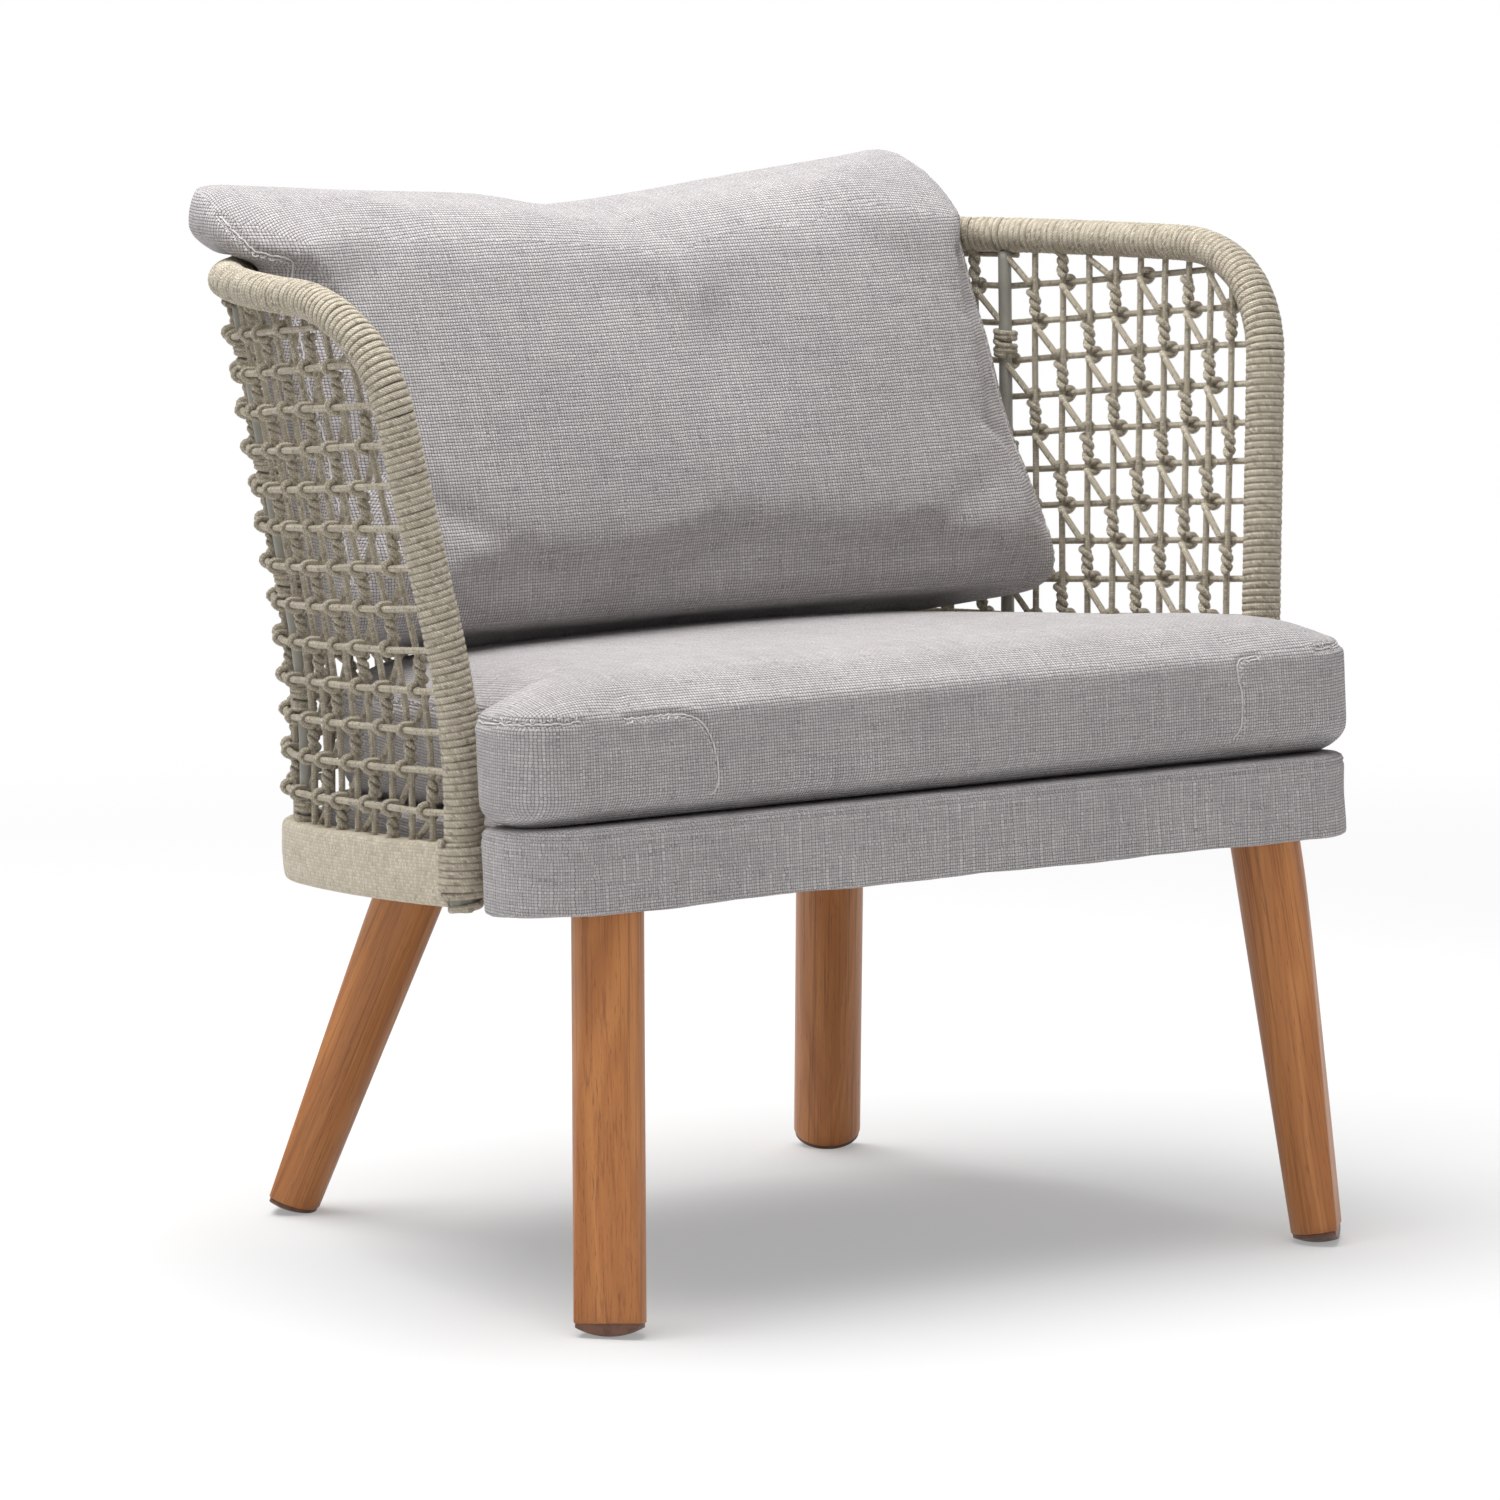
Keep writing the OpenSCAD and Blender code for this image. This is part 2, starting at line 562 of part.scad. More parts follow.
// a box section that runs along x or y, with its hollow
module box_rail(size) {
    wall = 3;
    long_x = size[0] > size[1];
    difference() {
        cube(size);
        translate(long_x ? [-1, wall, wall] : [wall, -1, wall])
            cube(long_x ? [size[0] + 2, size[1] - 2 * wall, size[2] - 2 * wall]
                : [size[0] - 2 * wall, size[1] + 2, size[2] - 2 * wall]);
    }
}
module cross_rail(half, y) {
    color("darkseagreen") on_base() difference() {
        translate([-half, y - box_w / 2, box_low]) box_rail([2 * half, box_w, box_h]);
        at_deck_screws() translate([0, 0, ply_low - screw_in]) cylinder(h = screw_in + 1, d = screw_d + 2 * fit);
    }
}
module front_box_rail() cross_rail(front_leg_x + box_w, front_leg_y);
module rear_box_rail() cross_rail(side_box_x + box_w / 2, rear_leg_y);
module side_rail(side) {
    from = front_leg_y + box_w / 2;
    color("darkseagreen") on_base() translate([side * side_box_x - box_w / 2, from, box_low])
        box_rail([box_w, rear_leg_y - box_w / 2 - from, box_h]);
}
module outrigger(side) {
    inner = side_box_x + box_w / 2;
    reach = foot_half_w - tube_w / 2 - fit - inner;
    color("darkseagreen") on_base()
        translate([side == LEFT ? -inner - reach : inner, foot_y - box_w / 3, outrigger_low])
            box_rail([reach, box_w * 2 / 3, outrigger_h]);
}

// ---------- legs, leg plates, glides and fasteners ----------
screw_d = 5;
screw_in = 8;
// the four legs: top on the base plane, then the splay to the floor
LEGS = [[-front_leg_x, front_leg_y, -front_splay_x, -front_splay_y],
    [front_leg_x, front_leg_y, front_splay_x, -front_splay_y],
    [-rear_leg_half, rear_leg_y, -rear_splay_x, rear_splay_y],
    [rear_leg_half, rear_leg_y, rear_splay_x, rear_splay_y]];
module at_legs() {
    for (l = LEGS) translate([l[0], l[1], 0]) children();
}
module at_deck_screws() {
    for (l = LEGS, dx = [-20, 20]) translate([l[0] + dx, l[1], 0]) children();
}
function to_room(p) =
    [p[0], foot_y + (p[1] - foot_y) * cos(base_tilt) + p[2] * sin(base_tilt),
     base_z - (p[1] - foot_y) * sin(base_tilt) + p[2] * cos(base_tilt)];
function leg_top(l) = to_room([l[0], l[1], 0]);
function leg_drop(l) = [l[2], l[3], -leg_top(l)[2]];
// the dome's centre lies on the leg's axis, so its lowest point is at the floor at any splay
function dome_at(l) = leg_top(l) + leg_drop(l) * (1 - (glide_dome_r - glide_flat) / leg_top(l)[2]);
glide_cap = sqrt(glide_dome_r * glide_dome_r - glide_d * glide_d / 4);
wood_end = glide_cap - glide_edge;
// draws with +z up the leg's axis and the origin at the dome's centre, +x towards the flat
module along_leg(l) {
    d = -leg_drop(l);
    lean = acos(d[2] / norm(d));
    turn = atan2(d[1], d[0]);
    flat_way = (l[1] < 0 ? -90 + sign(l[0]) * flat_turn : 90 - sign(l[0]) * flat_turn) - turn;
    translate(dome_at(l)) rotate([0, 0, turn]) rotate([0, lean, 0]) rotate([0, 0, flat_way]) children();
}
function leg_long(l) = norm(leg_top(l) - dome_at(l));
module flat_cut(l, grow) {
    long = leg_long(l) + wood_end;
    tip = 40;
    translate([leg_d / 2 - leg_flat + grow, -leg_d, -wood_end])
        rotate([0, atan2(leg_flat, long), 0]) translate([0, 0, -tip])
            cube([leg_d, 2 * leg_d, long + 2 * tip]);
}
module leg(l) {
    color("peru") difference() {
        along_leg(l) difference() {
            translate([0, 0, -wood_end]) cylinder(h = leg_long(l) + wood_end + leg_d, d = leg_d);
            flat_cut(l, 0);
            translate([0, 0, -wood_end - 1]) cylinder(h = screw_in * 2 + 1, d = screw_d + 2 * fit);
        }
        on_base() translate([l[0] - 2 * leg_d, l[1] - 2 * leg_d, 0]) cube([4 * leg_d, 4 * leg_d, 2 * leg_d]);
        on_base() translate([l[0], l[1], -bolt_in - 1]) cylinder(h = bolt_in + 2, d = bolt_d + 2 * fit);
    }
}
module glide(l) {
    inset = (leg_d - glide_d) / 2;
    color("saddlebrown") difference() {
        along_leg(l) difference() {
            intersection() {
                sphere(r = glide_dome_r);
                translate([0, 0, -glide_dome_r]) cylinder(h = glide_dome_r - wood_end, d = glide_d);
            }
            flat_cut(l, -inset);
            translate([0, 0, -glide_cap - 1]) cylinder(h = glide_edge + 2, d = screw_d + 2 * fit);
        }
        translate([dome_at(l)[0] - leg_d, dome_at(l)[1] - leg_d, -leg_d]) cube([2 * leg_d, 2 * leg_d, leg_d]);
    }
}
module leg_plate(l) {
    wide = 54;
    deep = 44;
    color("darkseagreen") on_base() difference() {
        translate([l[0] - wide / 2, l[1] - deep / 2, plate_low]) cube([wide, deep, plate_t]);
        translate([l[0], l[1], plate_low - 1]) cylinder(h = plate_t + 2, d = bolt_d + 2 * fit);
    }
}
module hanger_bolts() {
    color("silver") on_base() at_legs() translate([0, 0, -bolt_in]) cylinder(h = bolt_in + box_low, d = bolt_d);
}
module glide_screws() {
    color("silver") for (l = LEGS) along_leg(l)
        translate([0, 0, -glide_cap]) cylinder(h = glide_edge + screw_in * 2 - 1, d = screw_d);
}
module deck_screws() {
    color("silver") on_base() at_deck_screws()
        translate([0, 0, ply_low - screw_in + 1]) cylinder(h = screw_in - 1 + ply_t, d = screw_d);
}

// ---------- cushions ----------
seat_front = deck_front - seat_over;
seat_low = deck_h + fit;
// profile of the seat cushion's edge: growth outwards, height, and the crown's scale in plan
seat_side = seat_h - seat_round;
seat_profile = [[-seat_round, 0, 1], [-seat_round * 0.3, seat_round * 0.3, 1], [0, seat_round, 1],
    [0, seat_side - seat_round, 1], [-seat_round * 0.3, seat_side - seat_round * 0.3, 1],
    [-seat_round, seat_side, 1], [-seat_round, seat_side + seat_round * 0.6, 0.93],
    [-seat_round, seat_h, 0.74]];
seat_mid_y = (seat_front + rear_y(foot_curve)) / 2;
module seat_cushion() {
    color("rosybrown") on_base()
        loft([for (q = seat_profile)
            [for (p = t_outline(deck_half_w + seat_over, seat_front, deck_corner_r, seat_inset, q[0]))
                [p[0] * q[2], seat_mid_y + (p[1] - seat_mid_y) * q[2], seat_low + q[1]]]]);
}
// The back cushion is a stack of level outlines. Behind, each follows the mesh at its height.
back_clear = 20;
// more of it behind the cushion, which stands off the mesh there
rear_slack = 12;
back_low = to_room([0, back_front_y, seat_low + seat_h])[2] + 1;
function bow_of(c) = [c[0] - c[3] * cos(c[2]), c[1] - c[3] * sin(c[2]), c[3]];
function bar_y(c) = side_pt(c, side_len, 0)[1];
// half width inside the mesh, at a depth and a share of the flare
function inside_w(y, f) =
    let (bow = lerp(bow_of(foot_curve), bow_of(rail_curve), f),
         m = lerp(corner_at(foot_curve), corner_at(rail_curve), f),
         r = lerp(foot_corner_r, rail_corner_r, f) - back_clear)
    y < lerp(bar_y(foot_curve), bar_y(rail_curve), f)
    ? bow[0] + sqrt(pow(bow[2] - back_clear, 2) - pow(y - bow[1], 2))
    : m[0] + sqrt(max(r * r - pow(y - m[1], 2), 0));
function rear_inside(f) = lerp(rear_y(foot_curve), rear_y(rail_curve), f) - back_clear - rear_slack;
rail_top_z = rail_z + wound_h / 2;
foot_round = 18;
back_levels = concat([for (u = [0, 0.3, 0.7]) back_low + foot_round * u],
    steps(back_low + foot_round, back_top - back_round, 5),
    [for (t = [20, 42, 60, 75, 90]) back_top - back_round * (1 - sin(t))]);
// front face's depth without its rounding
function lean_y(z) = back_front_y + (z - back_low) * tan(back_lean);
// 0 in the cushion's middle and 1 at its very top or bottom, along a quarter circle
function top_bow(z) = 1 - sqrt(max(1 - pow(max(z - back_top + back_round, 0) / back_round, 2), 0));
function low_bow(z) = 1 - sqrt(max(1 - pow(max(back_low + foot_round - z, 0) / foot_round, 2), 0));
front_r = 40;
seam_half = 5;
function back_ring(z) =
    let (f = min(flare_at(rail_half, z), 1), top = top_bow(z), low = low_bow(z),
         over = max(min((z - rail_top_z - 4) / 24, 1), 0),
         front = lerp(lean_y(z) + low * foot_round, back_top_y - seam_half, top),
         rear = lerp(rear_inside(f) - low * foot_round, back_top_y + seam_half, top),
         puff = back_bulge * (1 - top) * sin(180 * min((z - back_low) / (back_top - back_low), 1)),
         r = min(front_r, (rear - front) / 3),
         full_w = back_half_w - foot_round * max(low, top),
         w = lerp(min(full_w, inside_w(front + r, f)), full_w, over))
    concat(
        [for (u = [0, 0.45, 0.8]) [(w - r) * u, front - puff * (1 - u * u), z]],
        [for (t = [0, 30, 60, 90]) [w - r + r * sin(t), front + r - r * cos(t), z]],
        [for (t = [20, 40, 58, 74, 90])
            let (y = front + r + (rear - front - r) * sin(t),
                 free_w = w - (rear - front - r) * (1 - cos(t)) * 0.5)
            [min(w, lerp(min(inside_w(y, f), w), free_w, over)), y, z]]);
function dipped(p, top) =
    [p[0], p[1], p[2] - back_valley * top * max(1 - pow(p[0] / (back_half_w - foot_round), 2), 0)];
function both_sides(ring) = concat(ring, [for (i = [len(ring) - 1 : -1 : 1]) [-ring[i][0], ring[i][1], ring[i][2]]]);
module back_cushion() {
    color("rosybrown")
        loft_to_point([for (z = back_levels) let (share = (z - back_low) / (back_top - back_low))
            [for (p = both_sides(back_ring(z))) dipped(p, pow(share, 4))]],
            dipped([0, back_top_y, back_top], 1));
}

rail_tube();
rail_winding();
upright_winding(LEFT);  // left_upright_winding
upright_winding(RIGHT);  // right_upright_winding
foot_wrap(LEFT);  // left_foot_wrap
foot_wrap(RIGHT);  // right_foot_wrap
rear_bar(LEFT);  // left_rear_bar
rear_bar(RIGHT);  // right_rear_bar
bar_ties(LEFT);  // left_bar_ties
bar_ties(RIGHT);  // right_bar_ties
side_upright_ropes(LEFT);  // left_upright_ropes
rear_upright_ropes();
side_upright_ropes(RIGHT);  // right_upright_ropes
row_ropes();
slant_ropes(left_bar - left_ropes, left_bar);  // left_slant_ropes
slant_ropes(left_bar, 0);  // rear_slant_ropes
slant_ropes(0, right_ropes);  // right_slant_ropes
base_ring();
base_belt();
ring_spacers();
outrigger(LEFT);  // left_outrigger
outrigger(RIGHT);  // right_outrigger
front_box_rail();
rear_box_rail();
side_rail(LEFT);  // left_box_rail
side_rail(RIGHT);  // right_box_rail
seat_deck();
deck_foam();
platform_cover();
dust_cover();
leg(LEGS[0]);  // front_left_leg
leg(LEGS[1]);  // front_right_leg
leg(LEGS[2]);  // rear_left_leg
leg(LEGS[3]);  // rear_right_leg
glide(LEGS[0]);  // front_left_glide
glide(LEGS[1]);  // front_right_glide
glide(LEGS[2]);  // rear_left_glide
glide(LEGS[3]);  // rear_right_glide
leg_plate(LEGS[0]);  // front_left_leg_plate
leg_plate(LEGS[1]);  // front_right_leg_plate
leg_plate(LEGS[2]);  // rear_left_leg_plate
leg_plate(LEGS[3]);  // rear_right_leg_plate
hanger_bolts();
glide_screws();
deck_screws();
seat_cushion();
back_cushion();
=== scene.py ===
"""Looks of a lounge armchair: a rope mesh on a wound rail, a belted base, timber legs and two loose cushions.

Lengths are metres. +Z is up and the front faces -Y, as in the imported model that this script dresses.
"""
import logging
import math
import random
from dataclasses import dataclass, field
from enum import Enum
from functools import cached_property

import bmesh
import bpy
import numpy as np
from mathutils import Matrix, Vector, kdtree
from mathutils.bvhtree import BVHTree


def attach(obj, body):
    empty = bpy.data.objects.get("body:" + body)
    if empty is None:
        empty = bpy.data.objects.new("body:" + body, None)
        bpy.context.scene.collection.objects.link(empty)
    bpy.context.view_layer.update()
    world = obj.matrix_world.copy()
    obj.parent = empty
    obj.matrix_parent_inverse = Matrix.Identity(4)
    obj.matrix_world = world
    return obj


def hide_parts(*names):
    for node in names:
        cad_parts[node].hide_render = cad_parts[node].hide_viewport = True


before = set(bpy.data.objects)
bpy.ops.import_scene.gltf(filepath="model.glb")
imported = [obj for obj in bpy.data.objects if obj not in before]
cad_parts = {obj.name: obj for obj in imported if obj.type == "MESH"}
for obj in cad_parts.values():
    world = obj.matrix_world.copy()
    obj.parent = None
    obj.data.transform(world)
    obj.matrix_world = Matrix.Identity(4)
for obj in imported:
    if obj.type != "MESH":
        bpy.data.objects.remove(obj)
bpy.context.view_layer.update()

log = logging.getLogger("armchair")
MM = 0.001
LAY = "lay"
ROPE_D = 4.9 * MM
ROPE_R = ROPE_D / 2
FIT = 0.3 * MM
Colour = tuple[float, float, float, float]


class Side(Enum):
    """Side of the chair, as the sign of X."""

    LEFT = -1
    RIGHT = 1


class Body(Enum):
    """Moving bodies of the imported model."""

    FRAME = "chair_frame"
    SEAT = "seat_cushion"
    BACK = "back_cushion"


def smooth(x: float | np.ndarray, low: float, high: float) -> float | np.ndarray:
    """Return the smooth step of x from 0 at low to 1 at high."""
    t = np.clip((x - low) / (high - low), 0, 1)
    return t * t * (3 - 2 * t)


def unit(v: np.ndarray) -> np.ndarray:
    """Return vectors scaled to unit length along the last axis."""
    return v / np.maximum(np.linalg.norm(v, axis=-1, keepdims=True), 1e-12)


# --- the form that the rope mesh is laid on ---
@dataclass(frozen=True)
class PlanCurve:
    """Half of a level outline: a bowed side from the upright, a rear corner, then a straight rear."""

    half_w: float
    start_y: float
    heading: float
    side_r: float
    side_len: float
    corner_r: float

    @cached_property
    def start_turn(self) -> float:
        """Heading at the upright, in radians."""
        return math.radians(self.heading)

    @cached_property
    def side_turn(self) -> float:
        """Heading at the end of the side, in radians."""
        return self.start_turn + self.side_len / self.side_r

    def side_point(self, s: float, off: float) -> tuple[float, float, float]:
        """Return x, y and heading at arc length s of the side, moved outwards by off."""
        h = self.start_turn + s / self.side_r
        x = self.half_w + self.side_r * (math.cos(h) - math.cos(self.start_turn)) + off * math.cos(h)
        y = self.start_y + self.side_r * (math.sin(h) - math.sin(self.start_turn)) + off * math.sin(h)
        return x, y, h

    @cached_property
    def corner(self) -> tuple[float, float]:
        """Centre of the rear corner."""
        x, y, h = self.side_point(self.side_len, 0.0)
        return x - self.corner_r * math.cos(h), y - self.corner_r * math.sin(h)

    @cached_property
    def corner_end(self) -> float:
        """Arc length at which the rear corner ends."""
        return self.side_len + self.corner_r * (math.pi / 2 - self.side_turn)

    @cached_property
    def half_len(self) -> float:
        """Arc length from the upright to the middle of the rear."""
        return self.corner_end + self.corner[0]

    @cached_property
    def rear_y(self) -> float:
        """Depth of the straight rear."""
        return self.corner[1] + self.corner_r

    def point(self, s: float, off: float = 0.0) -> tuple[float, float, float]:
        """Return the place on the curve.

        Args:
            s: arc length from the upright.
            off: distance outwards from the curve.

        Returns:
            x, y and the heading of the outward direction in radians.
        """
        if s <= self.side_len:
            return self.side_point(s, off)
        if s <= self.corner_end:
            h = self.side_turn + (s - self.side_len) / self.corner_r
            return (self.corner[0] + (self.corner_r + off) * math.cos(h),
                    self.corner[1] + (self.corner_r + off) * math.sin(h), h)
        return self.half_len - s, self.rear_y + off, math.pi / 2


@dataclass(frozen=True)
class Shell:
    """Surface between the base and the rail, with the rail's and the rows' heights."""

    foot: PlanCurve = PlanCurve(0.3435, -0.1491, -1.3, 0.885, 0.265, 0.132)
    rail: PlanCurve = PlanCurve(0.3853, -0.0991, -3.9, 0.538, 0.265, 0.214)
    rail_z: float = 0.6945
    rail_fall: float = 0.0214
    base_z: float = 0.283
    base_tilt: float = math.radians(4)
    belt_h: float = 0.044
    flare_start: float = 0.05
    flare_full: float = 0.38
    wound_w: float = 0.028
    wound_h: float = 0.025
    bend_drop: float = 0.079
    bend_run: float = 0.100
    bend_handle: float = 0.6
    row_datum: float = 0.714
    row_drop: float = 0.035
    row_pitch: float = 0.0281
    row_squeeze: float = 0.00127

    @property
    def side_len(self) -> float:
        """Length of a side panel."""
        return self.rail.side_len

    def foot_arc(self, a: float) -> float:
        """Return the arc length on the foot curve that lies under arc length a of the rail."""
        if a <= self.side_len:
            return a
        stretch = (self.foot.half_len - self.side_len) / (self.rail.half_len - self.side_len)
        return self.side_len + (a - self.side_len) * stretch

    def rail_at(self, a: float) -> float:
        """Return the height of the rail's centre at arc length a."""
        return self.rail_z - self.rail_fall * self.rail.point(a)[1]

    def flare(self, w: float) -> float:
        """Return how far the surface has moved towards the rail curve at a share w of its height."""
        span = self.flare_full - self.flare_start
        full = 1 / (span / 2 + 1 - self.flare_full)
        if w < self.flare_start:
            return 0.0
        if w < self.flare_full:
            return full * (w - self.flare_start) ** 2 / (2 * span)
        return full * (span / 2 + w - self.flare_full)

    def flare_at(self, a: float, z: float) -> float:
        """Return the flare at arc length a and height z."""
        low = self.base_z + self.belt_h
        return self.flare((z - low) / (self.rail_at(a) - low))

    def place(self, a: float, z: float, off: float, side: Side) -> tuple[np.ndarray, np.ndarray]:
        """Return a place on the surface and the outward direction there.

        Args:
            a: arc length from the upright, along the rail.
            z: height.
            off: distance outwards from the surface.
            side: half of the chair.

        Returns:
            The point and the level unit vector outwards.
        """
        top, low, f = self.rail.point(a), self.foot.point(self.foot_arc(a)), self.flare_at(a, z)
        x, y, h = (low[i] + (top[i] - low[i]) * f for i in range(3))
        out = np.array([side.value * math.cos(h), math.sin(h), 0.0])
        return np.array([side.value * x, y, z]) + off * out, out

    def row_height(self, k: float, a: float) -> float:
        """Return the height of row k at arc length a."""
        t = min(a / self.side_len, 1.0)
        return self.row_datum - self.row_drop * t - k * (self.row_pitch - self.row_squeeze * t)

    def bend_at(self, t: float) -> tuple[float, float]:
        """Return arc length and height on the bend of the upright into the rail, for t from 0 to 1."""
        low = (0.0, self.rail_at(0) - self.bend_drop)
        tip = (0.0, self.rail_at(0))
        end = (self.bend_run, self.rail_at(self.bend_run))
        h, u = self.bend_handle, 1 - t
        p1 = [low[i] + (tip[i] - low[i]) * h for i in (0, 1)]
        p2 = [end[i] + (tip[i] - end[i]) * h for i in (0, 1)]
        weights = (u ** 3, 3 * u * u * t, 3 * u * t * t, t ** 3)
        a, z = (sum(w * p[i] for w, p in zip(weights, (low, p1, p2, end))) for i in (0, 1))
        return a, z

    @cached_property
    def inner_edge(self) -> tuple[np.ndarray, np.ndarray]:
        """Arc lengths and heights along the lower edge of the wound bend."""
        curve = np.array([self.bend_at(t) for t in np.linspace(0, 1, 33)])
        way = unit(np.gradient(curve, axis=0))
        edge = curve + (self.wound_h / 2 + FIT) * np.stack([way[:, 1], -way[:, 0]], 1)
        return edge[:, 0], edge[:, 1]

    def under_rail(self, a: float) -> float:
        """Return the height of the wound rail's underside at arc length a."""
        if a >= self.bend_run:
            return self.rail_at(a) - self.wound_h / 2
        return float(np.interp(a, *self.inner_edge))

    def belt_top(self, y: float) -> float:
        """Return the height of the belt's upper edge at depth y."""
        return (self.base_z + self.belt_h / math.cos(self.base_tilt)
                - (y - self.foot.start_y) * math.tan(self.base_tilt))

    def on_base(self, points: np.ndarray) -> np.ndarray:
        """Return points drawn on the level base plane, tilted into place.

        Args:
            points: rows of x, y and height above the base's underside.

        Returns:
            The same points in the chair's frame.
        """
        y, h = points[..., 1] - self.foot.start_y, points[..., 2]
        c, s = math.cos(self.base_tilt), math.sin(self.base_tilt)
        return np.stack([points[..., 0], self.foot.start_y + y * c + h * s, self.base_z - y * s + h * c], -1)


SHELL = Shell()


# --- mesh making ---
class MeshBin:
    """Gathers the vertices, faces and surface coordinates of one piece. The coordinates are in metres."""

    def __init__(self) -> None:
        """Start empty."""
        self.points: list[np.ndarray] = []
        self.faces: list[list[int]] = []
        self.coords: list[np.ndarray] = []
        self.count = 0

    def add_rings(self, rings: np.ndarray, u: np.ndarray, v: np.ndarray, caps: bool = True) -> None:
        """Add a skin over closed rings of points.

        Args:
            rings: array of rings, points in a ring, and x, y, z.
            u: surface coordinate round a ring, with one value more than a ring has points.
            v: surface coordinate of each ring.
            caps: closes the first and the last ring with a face.
        """
        m, n = rings.shape[:2]
        j, i = (g.ravel() for g in np.meshgrid(np.arange(m - 1), np.arange(n), indexing="ij"))
        k = (i + 1) % n
        quads = np.stack([j * n + i, j * n + k, (j + 1) * n + k, (j + 1) * n + i], 1) + self.count
        uv = np.stack([u[i], v[j], u[i + 1], v[j], u[i + 1], v[j + 1], u[i], v[j + 1]], 1)
        self.faces += quads.tolist()
        self.coords.append(uv.reshape(-1, 2))
        if caps:
            first = list(range(self.count, self.count + n))
            last = list(range(self.count + (m - 1) * n, self.count + m * n))
            self.faces += [first[::-1], last]
            self.coords.append(np.stack([np.concatenate([u[:n][::-1], u[:n]]),
                                         np.repeat([v[0], v[-1]], n)], 1))
        self.points.append(rings.reshape(-1, 3))
        self.count += m * n

    def build(self, name: str) -> bpy.types.Object:
        """Make the piece.

        Args:
            name: name of the object.

        Returns:
            The new object, smooth shaded and linked to the scene.
        """
        mesh = bpy.data.meshes.new(name)
        mesh.from_pydata(np.concatenate(self.points).tolist(), [], self.faces)
        mesh.uv_layers.new(name=LAY).data.foreach_set("uv", np.concatenate(self.coords).ravel())
        mesh.shade_smooth()
        return link(name, mesh)


def link(name: str, data: bpy.types.ID) -> bpy.types.Object:
    """Return a new object with this mesh, light or camera, linked to the scene."""
    obj = bpy.data.objects.new(name, data)
    bpy.context.scene.collection.objects.link(obj)
    return obj


def run_of(path: np.ndarray) -> np.ndarray:
    """Return the distance along a path at each of its points."""
    return np.concatenate([[0], np.cumsum(np.linalg.norm(np.diff(path, axis=0), axis=1))])


def vectors_in(items: bpy.types.bpy_prop_collection, name: str) -> np.ndarray:
    """Return one vector property of all items as rows."""
    values = np.empty(len(items) * 3, dtype=np.float32)
    items.foreach_get(name, values)
    return values.reshape(-1, 3).astype(float)


def coordinates(obj: bpy.types.Object) -> np.ndarray:
    """Return the vertices of a piece."""
    return vectors_in(obj.data.vertices, "co")


def resampled(path: np.ndarray, step: float) -> np.ndarray:
    """Return the path with points at an even step along its length."""
    run = run_of(path)
    marks = np.linspace(0, run[-1], max(int(round(run[-1] / step)), 2) + 1)
    return np.stack([np.interp(marks, run, path[:, i]) for i in range(path.shape[1])], 1)


def curve_through(controls: np.ndarray, per_span: int = 8) -> np.ndarray:
    """Return a smooth curve through control points.

    Args:
        controls: control points, one a row.
        per_span: points made for each span.

    Returns:
        The curve's points.
    """
    p = np.vstack([2 * controls[0] - controls[1], controls, 2 * controls[-1] - controls[-2]])
    t = np.linspace(0, 1, per_span, endpoint=False)[:, None]
    spans = []
    for a, b, c, d in zip(p[:-3], p[1:-2], p[2:-1], p[3:]):
        spans.append(0.5 * (2 * b + (c - a) * t + (2 * a - 5 * b + 4 * c - d) * t ** 2
                            + (3 * b - a - 3 * c + d) * t ** 3))
    return np.vstack(spans + [controls[-1:]])


def carried_normals(tangents: np.ndarray) -> np.ndarray:
    """Return normals carried along a path without twisting round it."""
    normals = np.empty_like(tangents)
    start = np.array([0.0, 0.0, 1.0]) if abs(tangents[0][2]) < 0.9 else np.array([1.0, 0.0, 0.0])
    for i, t in enumerate(tangents):
        start = start - t * float(start @ t)
        start = start / math.sqrt(float(start @ start))
        normals[i] = start
    return normals


def add_cord(bin_: MeshBin, path: np.ndarray, half_n: float, half_b: float, sides: int = 8,
             normals: np.ndarray | None = None, full: float = 1.0) -> None:
    """Add a cord of oval section along a path.

    Args:
        bin_: mesh that takes the cord.
        path: centre line.
        half_n: half thickness along the normals.
        half_b: half width across them.
        sides: points round the cord.
        normals: directions of the thickness, or None for a round cord.
        full: 1 for an oval section, and less for one with flatter sides.
    """
    tangents = unit(np.gradient(path, axis=0))
    if normals is None:
        n = carried_normals(tangents)
    else:
        n = unit(normals - tangents * np.sum(normals * tangents, 1, keepdims=True))
    b = np.cross(tangents, n)
    angle = 2 * math.pi * np.arange(sides) / sides
    c, s = (np.sign(v) * np.abs(v) ** full for v in (np.cos(angle), np.sin(angle)))
    ring = half_n * c[None, :, None] * n[:, None] + half_b * s[None, :, None] * b[:, None]
    run = run_of(path)
    girth = math.pi * (half_n + half_b)
    bin_.add_rings(path[:, None] + ring, girth * np.arange(sides + 1) / sides, run)


# --- node graphs ---
Feed = float | Colour | tuple[float, float, float] | bpy.types.NodeSocket


